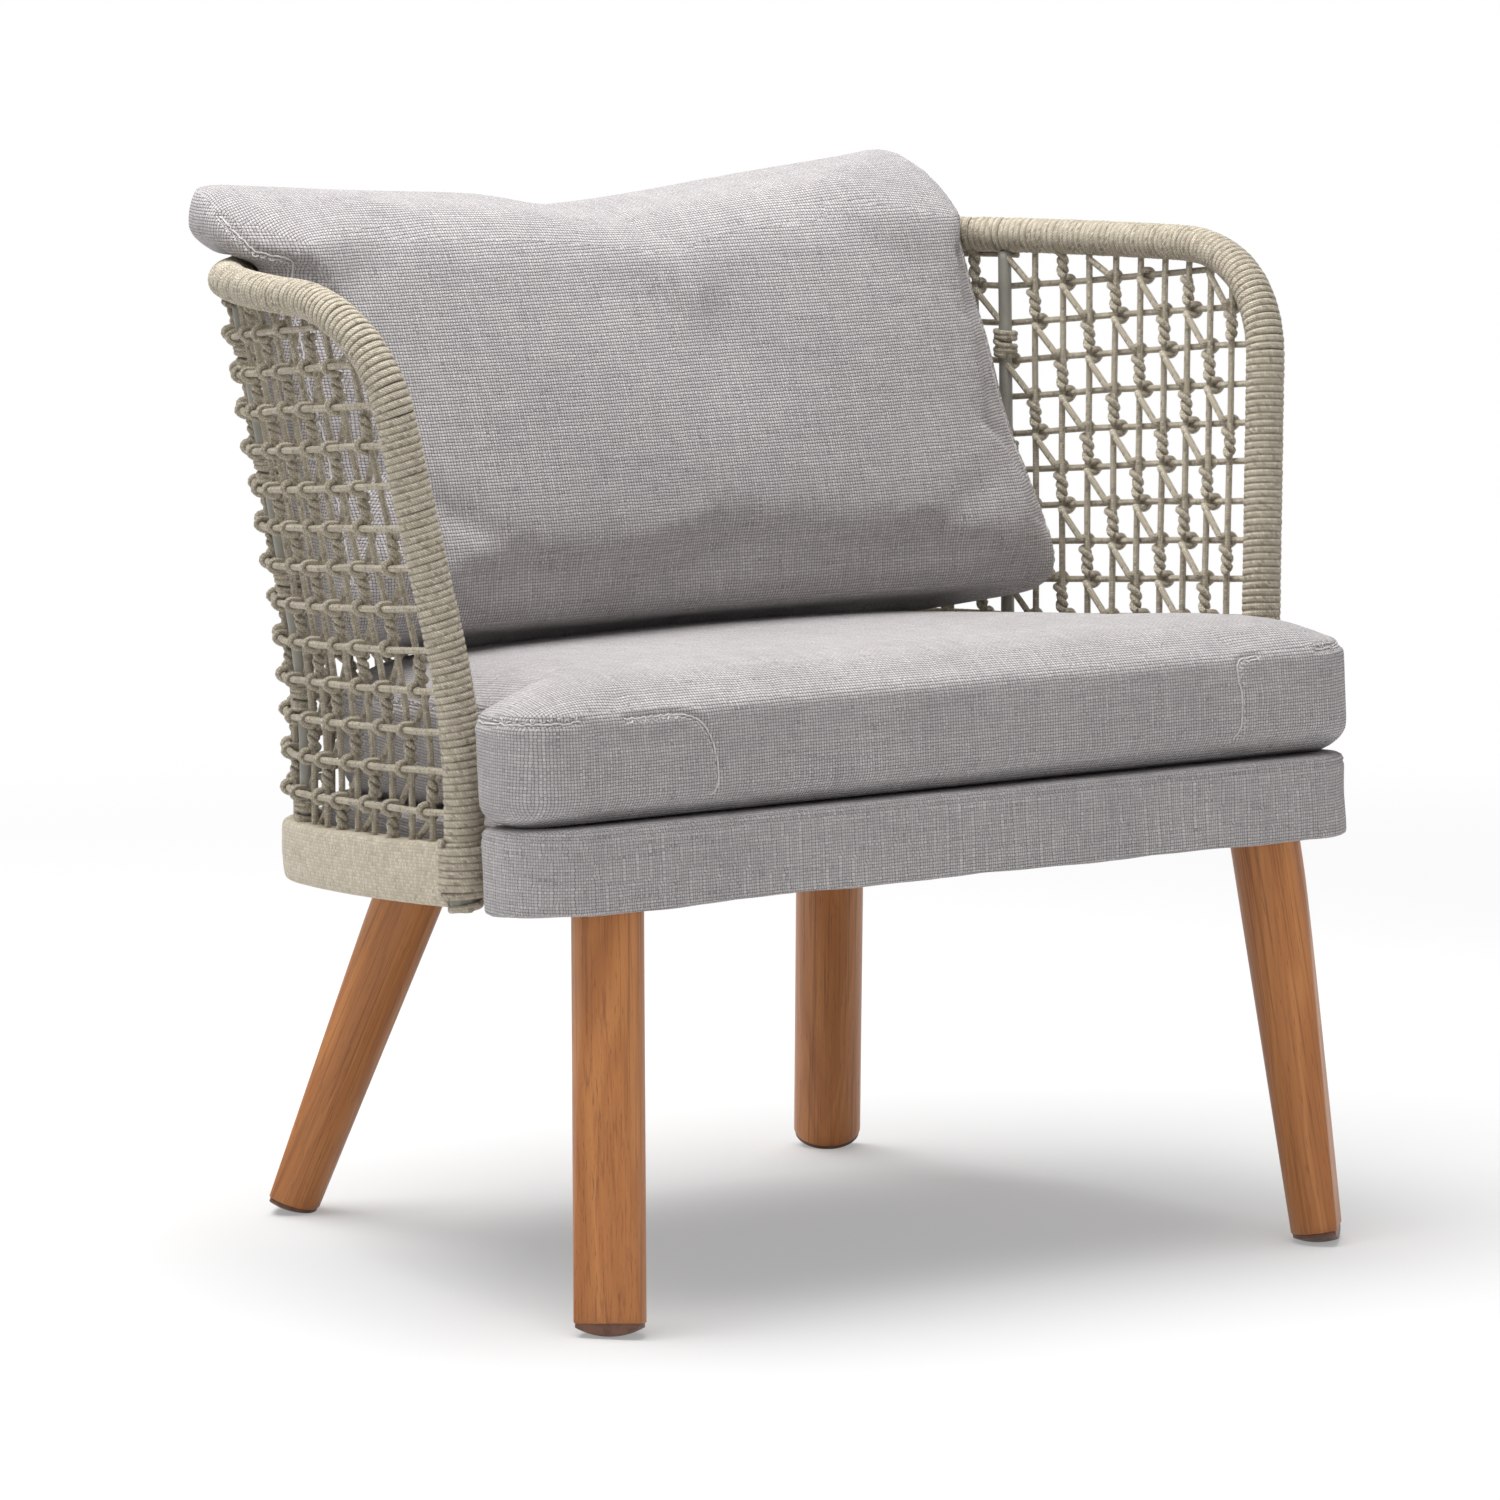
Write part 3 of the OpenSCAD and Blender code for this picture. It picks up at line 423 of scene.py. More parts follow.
class Graph:
    """A node tree that is being drawn."""

    def __init__(self, tree: bpy.types.NodeTree) -> None:
        """Take the tree and empty it."""
        self.tree = tree
        tree.nodes.clear()

    def node(self, kind: str, feeds: dict[int | str, Feed] | None = None, **settings: object
             ) -> bpy.types.Node:
        """Add a node.

        Args:
            kind: type name of the node.
            feeds: a value or another socket for each input named here.
            settings: properties of the node.

        Returns:
            The node.
        """
        node = self.tree.nodes.new(kind)
        for name, value in settings.items():
            setattr(node, name, value)
        for key, value in (feeds or {}).items():
            if isinstance(value, bpy.types.NodeSocket):
                self.tree.links.new(value, node.inputs[key])
            else:
                node.inputs[key].default_value = value
        return node

    def math(self, operation: str, a: Feed, b: Feed = 0.0) -> bpy.types.NodeSocket:
        """Return a mathematical operation on one or two values."""
        return self.node("ShaderNodeMath", {0: a, 1: b}, operation=operation).outputs[0]

    def mix(self, share: Feed, a: Feed, b: Feed) -> bpy.types.NodeSocket:
        """Return a mix of two colours."""
        return self.node("ShaderNodeMix", {0: share, 6: a, 7: b}, data_type="RGBA").outputs[2]

    def vector(self, x: Feed, y: Feed, z: Feed = 0.0) -> bpy.types.NodeSocket:
        """Return a vector of three values."""
        return self.node("ShaderNodeCombineXYZ", {0: x, 1: y, 2: z}).outputs[0]

    def split(self, vector: Feed) -> tuple[bpy.types.NodeSocket, ...]:
        """Return the three values of a vector."""
        return tuple(self.node("ShaderNodeSeparateXYZ", {0: vector}).outputs)

    def stretched(self, vector: Feed, scale: tuple[float, float, float]) -> bpy.types.NodeSocket:
        """Return a vector scaled along each axis."""
        return self.node("ShaderNodeVectorMath", {0: vector, 1: scale}, operation="MULTIPLY").outputs[0]

    def noise(self, vector: Feed, scale: Feed, detail: float = 2.0, rough: float = 0.5
              ) -> bpy.types.NodeSocket:
        """Return noise about 0.5."""
        feeds = {"Vector": vector, "Scale": scale, "Detail": detail, "Roughness": rough}
        return self.node("ShaderNodeTexNoise", feeds).outputs[0]

    def range(self, value: Feed, low: float, high: float, to_low: float = 0.0, to_high: float = 1.0
              ) -> bpy.types.NodeSocket:
        """Return a value mapped from low..high to to_low..to_high, clamped."""
        return self.node("ShaderNodeMapRange", {0: value, 1: low, 2: high, 3: to_low, 4: to_high},
                         interpolation_type="SMOOTHSTEP").outputs[0]

    def group(self, tree: bpy.types.NodeTree, feeds: dict[str, Feed]) -> bpy.types.Node:
        """Return a placed node group with its own values."""
        return self.node("ShaderNodeGroup", feeds, node_tree=tree)

    def close(self, out: bpy.types.Node, **values: bpy.types.NodeSocket) -> bpy.types.NodeTree:
        """Link the values that a node group gives out and return its tree."""
        for label, value in values.items():
            self.tree.links.new(value, out.inputs[label])
        return self.tree


def new_group(name: str, floats: dict[str, float], outputs: tuple[str, ...]
              ) -> tuple[Graph, bpy.types.Node, bpy.types.Node]:
    """Start a shader node group whose first input is the vector Place.

    Args:
        name: name of the group.
        floats: its float inputs with their usual values.
        outputs: its float outputs.

    Returns:
        The graph, its input node and its output node.
    """
    tree = bpy.data.node_groups.new(name, "ShaderNodeTree")
    tree.interface.new_socket("Place", in_out="INPUT", socket_type="NodeSocketVector")
    for label, value in floats.items():
        tree.interface.new_socket(label, in_out="INPUT", socket_type="NodeSocketFloat").default_value = value
    for label in outputs:
        tree.interface.new_socket(label, in_out="OUTPUT", socket_type="NodeSocketFloat")
    graph = Graph(tree)
    return graph, graph.node("NodeGroupInput"), graph.node("NodeGroupOutput")


class Effects:
    """Node groups shared by the materials, each built once."""

    def __init__(self) -> None:
        """Build the groups."""
        self.knit = self._knit()
        self.weave = self._weave()
        self.grain = self._grain()
        self.mottle = self._mottle()

    @staticmethod
    def _knit() -> bpy.types.NodeTree:
        """Return chevron stitches: Height, Tint of each stitch, and a mask of the gaps between stitches for
        painted shade.
        """
        g, inp, out = new_group("knit_stitches", {"Wale": 0.0022, "Course": 0.0017, "Slant": 1.2},
                                ("Height", "Tint", "Gap"))
        x, y, _ = g.split(inp.outputs["Place"])
        wale = g.math("DIVIDE", x, inp.outputs["Wale"])
        across = g.math("ABSOLUTE", g.math("SUBTRACT", g.math("FRACT", wale), 0.5))
        lift = g.math("MULTIPLY", across, inp.outputs["Slant"])
        course = g.math("ADD", g.math("DIVIDE", y, inp.outputs["Course"]), lift)
        along = g.math("ABSOLUTE", g.math("SUBTRACT", g.math("FRACT", course), 0.5))
        edge_a = g.range(across, 0.28, 0.5, 1.0, 0.25)
        edge_b = g.range(along, 0.15, 0.5, 1.0, 0.1)
        height = g.math("MULTIPLY", edge_a, edge_b)
        cell = g.vector(g.math("FLOOR", wale), g.math("FLOOR", course))
        tint = g.node("ShaderNodeTexWhiteNoise", {"Vector": cell}, noise_dimensions="3D").outputs[0]
        return g.close(out, Height=height, Tint=tint, Gap=g.range(height, 0.05, 0.4, 1.0, 0.0))

    @staticmethod
    def _weave() -> bpy.types.NodeTree:
        """Return a plain weave: Height, Tint along each thread, and a mask of the gaps between threads for
        painted shade.
        """
        g, inp, out = new_group("plain_weave", {"Thread": 0.0024, "Wander": 0.5}, ("Height", "Tint", "Gap"))
        place = inp.outputs["Place"]
        sway = g.math("MULTIPLY", g.math("SUBTRACT", g.noise(place, 55.0, 2.0), 0.5), inp.outputs["Wander"])
        x, y, _ = g.split(place)
        u = g.math("ADD", g.math("DIVIDE", x, inp.outputs["Thread"]), sway)
        v = g.math("SUBTRACT", g.math("DIVIDE", y, inp.outputs["Thread"]), sway)
        cell_u, cell_v = g.math("FLOOR", u), g.math("FLOOR", v)
        over = g.math("FLOORED_MODULO", g.math("ADD", cell_u, cell_v), 2.0)
        from_u = g.math("ABSOLUTE", g.math("SUBTRACT", g.math("FRACT", u), 0.5))
        from_v = g.math("ABSOLUTE", g.math("SUBTRACT", g.math("FRACT", v), 0.5))
        warp = g.math("MULTIPLY", g.range(from_u, 0.2, 0.5, 1.0, 0.0), g.range(from_v, 0.1, 0.6, 1.0, 0.5))
        weft = g.math("MULTIPLY", g.range(from_v, 0.2, 0.5, 1.0, 0.0), g.range(from_u, 0.1, 0.6, 1.0, 0.5))
        warp_place = g.vector(g.math("MULTIPLY", cell_u, 3.7), g.math("MULTIPLY", v, 0.09), 1.5)
        weft_place = g.vector(g.math("MULTIPLY", u, 0.09), g.math("MULTIPLY", cell_v, 3.7), 7.5)
        warp_tint, weft_tint = (g.noise(place, 1.0, 3.0, 0.7) for place in (warp_place, weft_place))
        height, tint = (g.node("ShaderNodeMix", {0: over, 2: a, 3: b}, data_type="FLOAT").outputs[0]
                        for a, b in ((warp, weft), (warp_tint, weft_tint)))
        return g.close(out, Height=height, Tint=tint, Gap=g.range(height, 0.0, 0.62, 1.0, 0.0))

    @staticmethod
    def _grain() -> bpy.types.NodeTree:
        """Return timber that grew along Z: Figure of the bands, fine Streak and dark Pore."""
        g, inp, out = new_group("timber_grain", {"Bands": 85.0, "Seed": 0.0}, ("Figure", "Streak", "Pore"))
        seed = inp.outputs["Seed"]
        place = g.node("ShaderNodeVectorMath", {0: inp.outputs["Place"], 1: g.vector(seed, seed, seed)},
                       operation="ADD").outputs[0]
        bent = g.noise(g.stretched(place, (16.0, 16.0, 2.6)), 1.0, 3.0)
        x, _, _ = g.split(place)
        wave = g.math("ADD", g.math("MULTIPLY", x, inp.outputs["Bands"]), g.math("MULTIPLY", bent, 9.0))
        figure = g.noise(g.vector(wave, 0.0, 0.0), 1.0, 2.0)
        streak = g.noise(g.stretched(place, (520.0, 520.0, 7.0)), 1.0, 4.0, 0.65)
        pore = g.noise(g.stretched(place, (1500.0, 1500.0, 65.0)), 1.0, 2.0, 0.5)
        return g.close(out, Figure=figure, Streak=streak, Pore=g.range(pore, 0.60, 0.74))

    @staticmethod
    def _mottle() -> bpy.types.NodeTree:
        """Return an uneven surface: broad Cloud, fine Speck and bump Height."""
        g, inp, out = new_group("mottle", {"Size": 0.02}, ("Cloud", "Speck", "Height"))
        scale = g.math("DIVIDE", 1.0, inp.outputs["Size"])
        cloud = g.noise(inp.outputs["Place"], scale, 4.0, 0.6)
        fine = g.noise(inp.outputs["Place"], g.math("MULTIPLY", scale, 12.0), 2.0, 0.6)
        return g.close(out, Cloud=cloud, Speck=g.range(fine, 0.5, 0.75), Height=fine)


# --- finishes ---
def start_material(name: str) -> tuple[bpy.types.Material, Graph]:
    """Return a new material and the graph of its nodes."""
    material = bpy.data.materials.new(name)
    material.use_nodes = True
    return material, Graph(material.node_tree)


def close_material(g: Graph, colour: Feed, rough: Feed, height: Feed, depth: float, sheen: float = 0.0,
                   metal: float = 0.0, strength: float = 1.0, gloss: float = 0.5) -> None:
    """Finish a material with its one shader.

    Args:
        g: graph of the material.
        colour: base colour.
        rough: roughness.
        height: bump height from 0 to 1.
        depth: what a bump height of 1 stands for.
        sheen: weight of the cloth's sheen.
        metal: metallic value.
        strength: strength of the bump.
        gloss: specular level.
    """
    bump = g.node("ShaderNodeBump", {"Height": height, "Distance": depth, "Strength": strength})
    shader = g.node("ShaderNodeBsdfPrincipled", {"Base Color": colour, "Roughness": rough, "Metallic": metal,
                                                 "Sheen Weight": sheen, "Sheen Roughness": 0.5,
                                                 "Specular IOR Level": gloss, "Normal": bump.outputs[0]})
    out = g.node("ShaderNodeOutputMaterial")
    g.tree.links.new(shader.outputs[0], out.inputs[0])


def lay_of(g: Graph) -> bpy.types.NodeSocket:
    """Return the surface coordinates of a piece, in metres."""
    return g.node("ShaderNodeUVMap", uv_map=LAY).outputs[0]


def space_of(g: Graph) -> bpy.types.NodeSocket:
    """Return the coordinates of a piece in its own space, in metres."""
    return g.node("ShaderNodeTexCoord").outputs["Object"]


@dataclass(frozen=True)
class KnitFinish:
    """Knitted cord or belt of mixed yarn."""

    name: str
    light: Colour
    mid: Colour
    dark: Colour
    wale: float
    course: float
    slant: float
    depth: float
    fleck: float

    def build(self, fx: Effects) -> bpy.types.Material:
        """Return the material."""
        material, g = start_material(self.name)
        place = lay_of(g)
        feeds = {"Place": place, "Wale": self.wale, "Course": self.course, "Slant": self.slant}
        knit = g.group(fx.knit, feeds)
        tint = knit.outputs["Tint"]
        colour = g.mix(g.range(tint, 0.35, 0.75), self.mid, self.light)
        colour = g.mix(g.math("MULTIPLY", g.range(tint, 1.0 - self.fleck, 1.0), 0.65), colour, self.dark)
        tone = g.noise(place, 60.0, 3.0)
        colour = g.mix(g.range(tone, 0.35, 0.75, 0.0, 0.22), colour, self.dark)
        # Painted shade: the colour darkens in the gaps between stitches, where shade falls.
        colour = g.mix(g.math("MULTIPLY", knit.outputs["Gap"], 0.72), colour, self.dark)
        close_material(g, colour, 0.88, knit.outputs["Height"], self.depth, sheen=0.12, gloss=0.25)
        return material


@dataclass(frozen=True)
class ClothFinish:
    """Woven upholstery cloth of mixed yarn."""

    name: str
    light: Colour
    mid: Colour
    dark: Colour
    thread: float
    depth: float
    sheen: float

    def build(self, fx: Effects) -> bpy.types.Material:
        """Return the material."""
        material, g = start_material(self.name)
        place = lay_of(g)
        weave = g.group(fx.weave, {"Place": place, "Thread": self.thread})
        tint = weave.outputs["Tint"]
        colour = g.mix(g.range(tint, 0.38, 0.72), self.mid, self.light)
        colour = g.mix(g.range(tint, 0.42, 0.24, 0.0, 0.45), colour, self.dark)
        tone = g.noise(place, 9.0, 4.0)
        colour = g.mix(g.range(tone, 0.3, 0.8, 0.0, 0.12), colour, self.dark)
        # Painted shade: the colour darkens in the gaps between threads, where shade falls.
        colour = g.mix(g.math("MULTIPLY", weave.outputs["Gap"], 0.85), colour, self.dark)
        close_material(g, colour, 0.92, weave.outputs["Height"], self.depth, sheen=self.sheen, gloss=0.2)
        return material


@dataclass(frozen=True)
class TimberFinish:
    """Oiled timber that runs along the piece's own Z."""

    name: str
    light: Colour
    mid: Colour
    dark: Colour
    bands: float
    rough: float
    seed: float = 0.0

    def build(self, fx: Effects) -> bpy.types.Material:
        """Return the material."""
        material, g = start_material(self.name)
        feeds = {"Place": space_of(g), "Bands": self.bands, "Seed": self.seed}
        figure, streak, pore = g.group(fx.grain, feeds).outputs
        colour = g.mix(g.range(figure, 0.32, 0.68), self.mid, self.light)
        colour = g.mix(g.range(streak, 0.48, 0.72, 0.0, 0.55), colour, self.dark)
        colour = g.mix(g.math("MULTIPLY", pore, 0.6), colour, self.dark)
        rough = g.math("ADD", g.math("MULTIPLY", streak, 0.14), self.rough)
        height = g.math("SUBTRACT", g.math("MULTIPLY", streak, 0.6), g.math("MULTIPLY", pore, 0.5))
        close_material(g, colour, rough, height, 0.25 * MM, strength=0.5)
        return material


@dataclass(frozen=True)
class PlainFinish:
    """Paint, metal, plastic, foam or felt with an uneven surface."""

    name: str
    light: Colour
    dark: Colour
    rough: float
    size: float
    depth: float
    metal: float = 0.0
    speck: float = 0.3
    sheen: float = 0.0

    def build(self, fx: Effects) -> bpy.types.Material:
        """Return the material."""
        material, g = start_material(self.name)
        cloud, speck, height = g.group(fx.mottle, {"Place": space_of(g), "Size": self.size}).outputs
        colour = g.mix(g.range(cloud, 0.35, 0.7), self.light, self.dark)
        colour = g.mix(g.math("MULTIPLY", speck, self.speck), colour, self.dark)
        rough = g.math("ADD", g.math("MULTIPLY", cloud, 0.16), self.rough - 0.08)
        close_material(g, colour, rough, height, self.depth, metal=self.metal, sheen=self.sheen)
        return material


def rgb(r: float, g: float, b: float) -> Colour:
    """Return an opaque linear colour."""
    return r, g, b, 1.0


@dataclass
class Finishes:
    """All finishes of the chair, by the name of their material slot, and the extra ones."""

    fx: Effects
    made: dict[str, bpy.types.Material] = field(default_factory=dict)

    def build(self) -> None:
        """Make every finish once."""
        cloth = (rgb(0.74, 0.705, 0.70), rgb(0.56, 0.525, 0.53), rgb(0.14, 0.128, 0.138))
        for finish in (
                KnitFinish("rope", rgb(0.80, 0.725, 0.585), rgb(0.64, 0.57, 0.445), rgb(0.19, 0.155, 0.11),
                           2.35 * MM, 2.0 * MM, 1.3, 0.6 * MM, 0.30),
                KnitFinish("belt_weave", rgb(0.79, 0.72, 0.58), rgb(0.64, 0.57, 0.445),
                           rgb(0.30, 0.25, 0.185), 2.4 * MM, 1.9 * MM, 0.9, 0.35 * MM, 0.10),
                ClothFinish("cushion_fabric", *cloth, 2.2 * MM, 0.8 * MM, 0.15),
                ClothFinish("platform_fabric", *cloth, 2.15 * MM, 0.75 * MM, 0.12),
                TimberFinish("leg_wood", rgb(0.58, 0.232, 0.068), rgb(0.43, 0.152, 0.039),
                             rgb(0.15, 0.041, 0.011), 70.0, 0.36),
                TimberFinish("plywood", rgb(0.56, 0.42, 0.26), rgb(0.45, 0.32, 0.18), rgb(0.26, 0.17, 0.09),
                             40.0, 0.62, 3.0),
                PlainFinish("painted_frame", rgb(0.335, 0.325, 0.28), rgb(0.27, 0.262, 0.225), 0.42, 0.03,
                            0.05 * MM),
                PlainFinish("glide_plastic", rgb(0.185, 0.082, 0.048), rgb(0.10, 0.042, 0.024), 0.4, 0.012,
                            0.06 * MM),
                PlainFinish("zinc_steel", rgb(0.62, 0.62, 0.6), rgb(0.42, 0.42, 0.41), 0.34, 0.01, 0.03 * MM,
                            metal=1.0),
                PlainFinish("foam", rgb(0.78, 0.76, 0.68), rgb(0.66, 0.63, 0.54), 0.95, 0.006, 0.4 * MM,
                            speck=0.5),
                PlainFinish("dust_fabric", rgb(0.05, 0.05, 0.052), rgb(0.028, 0.028, 0.03), 0.95, 0.004,
                            0.3 * MM, speck=0.6, sheen=0.2),
                PlainFinish("sewing_thread", rgb(0.78, 0.75, 0.735), rgb(0.62, 0.59, 0.58), 0.8, 0.002,
                            0.05 * MM)):
            self.made[finish.name] = finish.build(self.fx)

    def dress(self, obj: bpy.types.Object, name: str, node: str = "", body: Body = Body.FRAME) -> None:
        """Give a new piece its finish and its body, and hide the node that it stands for.

        Args:
            obj: the piece.
            name: its finish, which is also its material slot.
            node: name of the node that it replaces, or nothing for a piece that is added.
            body: the body it moves with.
        """
        obj.data.materials.append(self.made[name])
        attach(obj, body.value)
        if node:
            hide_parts(node)
        log.info("%s: %d vertices", obj.name, len(obj.data.vertices))

    def dress_node(self, name: str) -> None:
        """Give a node that stays the finish of its own slot."""
        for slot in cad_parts[name].material_slots:
            slot.material = self.made[slot.material.name.split(".")[0]]


# --- the rope mesh ---
@dataclass(frozen=True)
class MeshPlan:
    """Where the ropes lie. Columns count from the right rear bar, 0: upwards to the right upright, and
    downwards across the rear, past the left rear bar and along the left panel. A place on the mesh is a run
    along the rail from the left upright, a height and a distance outwards."""

    shell: Shell = SHELL
    rows: int = 13
    left_ropes: int = 8
    right_ropes: int = 9
    rear_ropes: int = 28
    left_pitch: float = 0.0282
    right_pitch: float = 0.0248
    row_off: float = 5.4 * MM
    front: float = 4.7 * MM
    bar_off: float = -2.75 * MM
    bar_r: float = 5.0 * MM
    bar_turns: float = 4.3
    twist_turns: float = 1.36
    hitch: float = 0.2

    @property
    def left_bar(self) -> int:
        """Column of the left rear bar."""
        return -(self.rear_ropes + 1)

    @property
    def length(self) -> float:
        """Length of the rail's line from upright to upright."""
        return 2 * self.shell.rail.half_len

    def is_bar(self, c: int) -> bool:
        """Return whether a column is a rear bar."""
        return c in (0, self.left_bar)

    def run(self, c: int) -> float:
        """Return the run of a column."""
        side = self.shell.side_len
        if c >= 0:
            return self.length - side + c * self.right_pitch
        if c >= self.left_bar:
            return self.length - side + c * (self.length - 2 * side) / (self.rear_ropes + 1)
        return side - (self.left_bar - c) * self.left_pitch

    def arc(self, run: float) -> tuple[float, Side]:
        """Return the arc length from the nearer upright, and the side."""
        return (run, Side.LEFT) if run < self.length / 2 else (self.length - run, Side.RIGHT)

    def point(self, run: float, z: float, off: float) -> np.ndarray:
        """Return a place on the mesh as a point."""
        a, side = self.arc(run)
        return self.shell.place(a, z, off, side)[0]

    def points(self, places: np.ndarray) -> np.ndarray:
        """Return rows of run, height and distance outwards as points."""
        return np.array([self.point(*place) for place in places])

    def top(self, run: float) -> float:
        """Return the height of the wound rail's underside."""
        return self.shell.under_rail(self.arc(run)[0])

    def bottom(self, run: float) -> float:
        """Return the height of the belt's upper edge."""
        a, side = self.arc(run)
        return self.shell.belt_top(self.shell.place(a, self.shell.base_z, 0.0, side)[0][1])

    def row(self, k: int, run: float) -> float:
        """Return the height of row k; row 0 is the rail's underside and the row past the last is the belt."""
        if k > self.rows:
            return self.bottom(run)
        return min(self.shell.row_height(k, self.arc(run)[0]), self.top(run))

    def is_row(self, k: int, run: float) -> bool:
        """Return whether a row of rope runs free under the rail here."""
        return 0 < k <= self.rows and self.row(k, run) < self.top(run) - ROPE_D

    def twist(self, c: int, gap: int) -> tuple[float, float] | None:
        """Return the upper and lower height of a strand's twist round a column in a gap, or None."""
        if (c + gap) % 3 != 2:
            return None
        run = self.run(c)
        high, low = self.row(gap, run), self.row(gap + 1, run)
        high = high - ROPE_D if self.is_row(gap, run) else high + ROPE_R
        low = low + ROPE_D if self.is_row(gap + 1, run) else low - ROPE_R
        return (high, low) if high - low > 2.6 * ROPE_D else None

    def orbit(self, c: int, t: np.ndarray, span: float) -> tuple[np.ndarray, np.ndarray]:
        """Return a strand's angle round its column and its distance from the common axis.

        Args:
            c: the column.
            t: share of the way down the twist.
            span: height of the twist.

        Returns:
            The angles in radians and the distances.
        """
        if self.is_bar(c):
            share = (smooth(t, -0.15, 0.5) + smooth(t, 0.5, 1.15)) / 2
            lead = float(smooth(0.0, -0.15, 0.5)) / 2
            turns = self.bar_turns * (share - lead) / (1 - 2 * lead)
            return 2 * math.pi * (turns - self.hitch), np.full_like(t, self.bar_r + ROPE_R)
        turns = self.twist_turns + (1 if span > 4.8 * ROPE_D else 0)
        settle = smooth(np.minimum(t, 1 - t), 0.0, 0.2)
        return 2 * math.pi * (turns * t - self.hitch), self.front - settle * self.front / 2


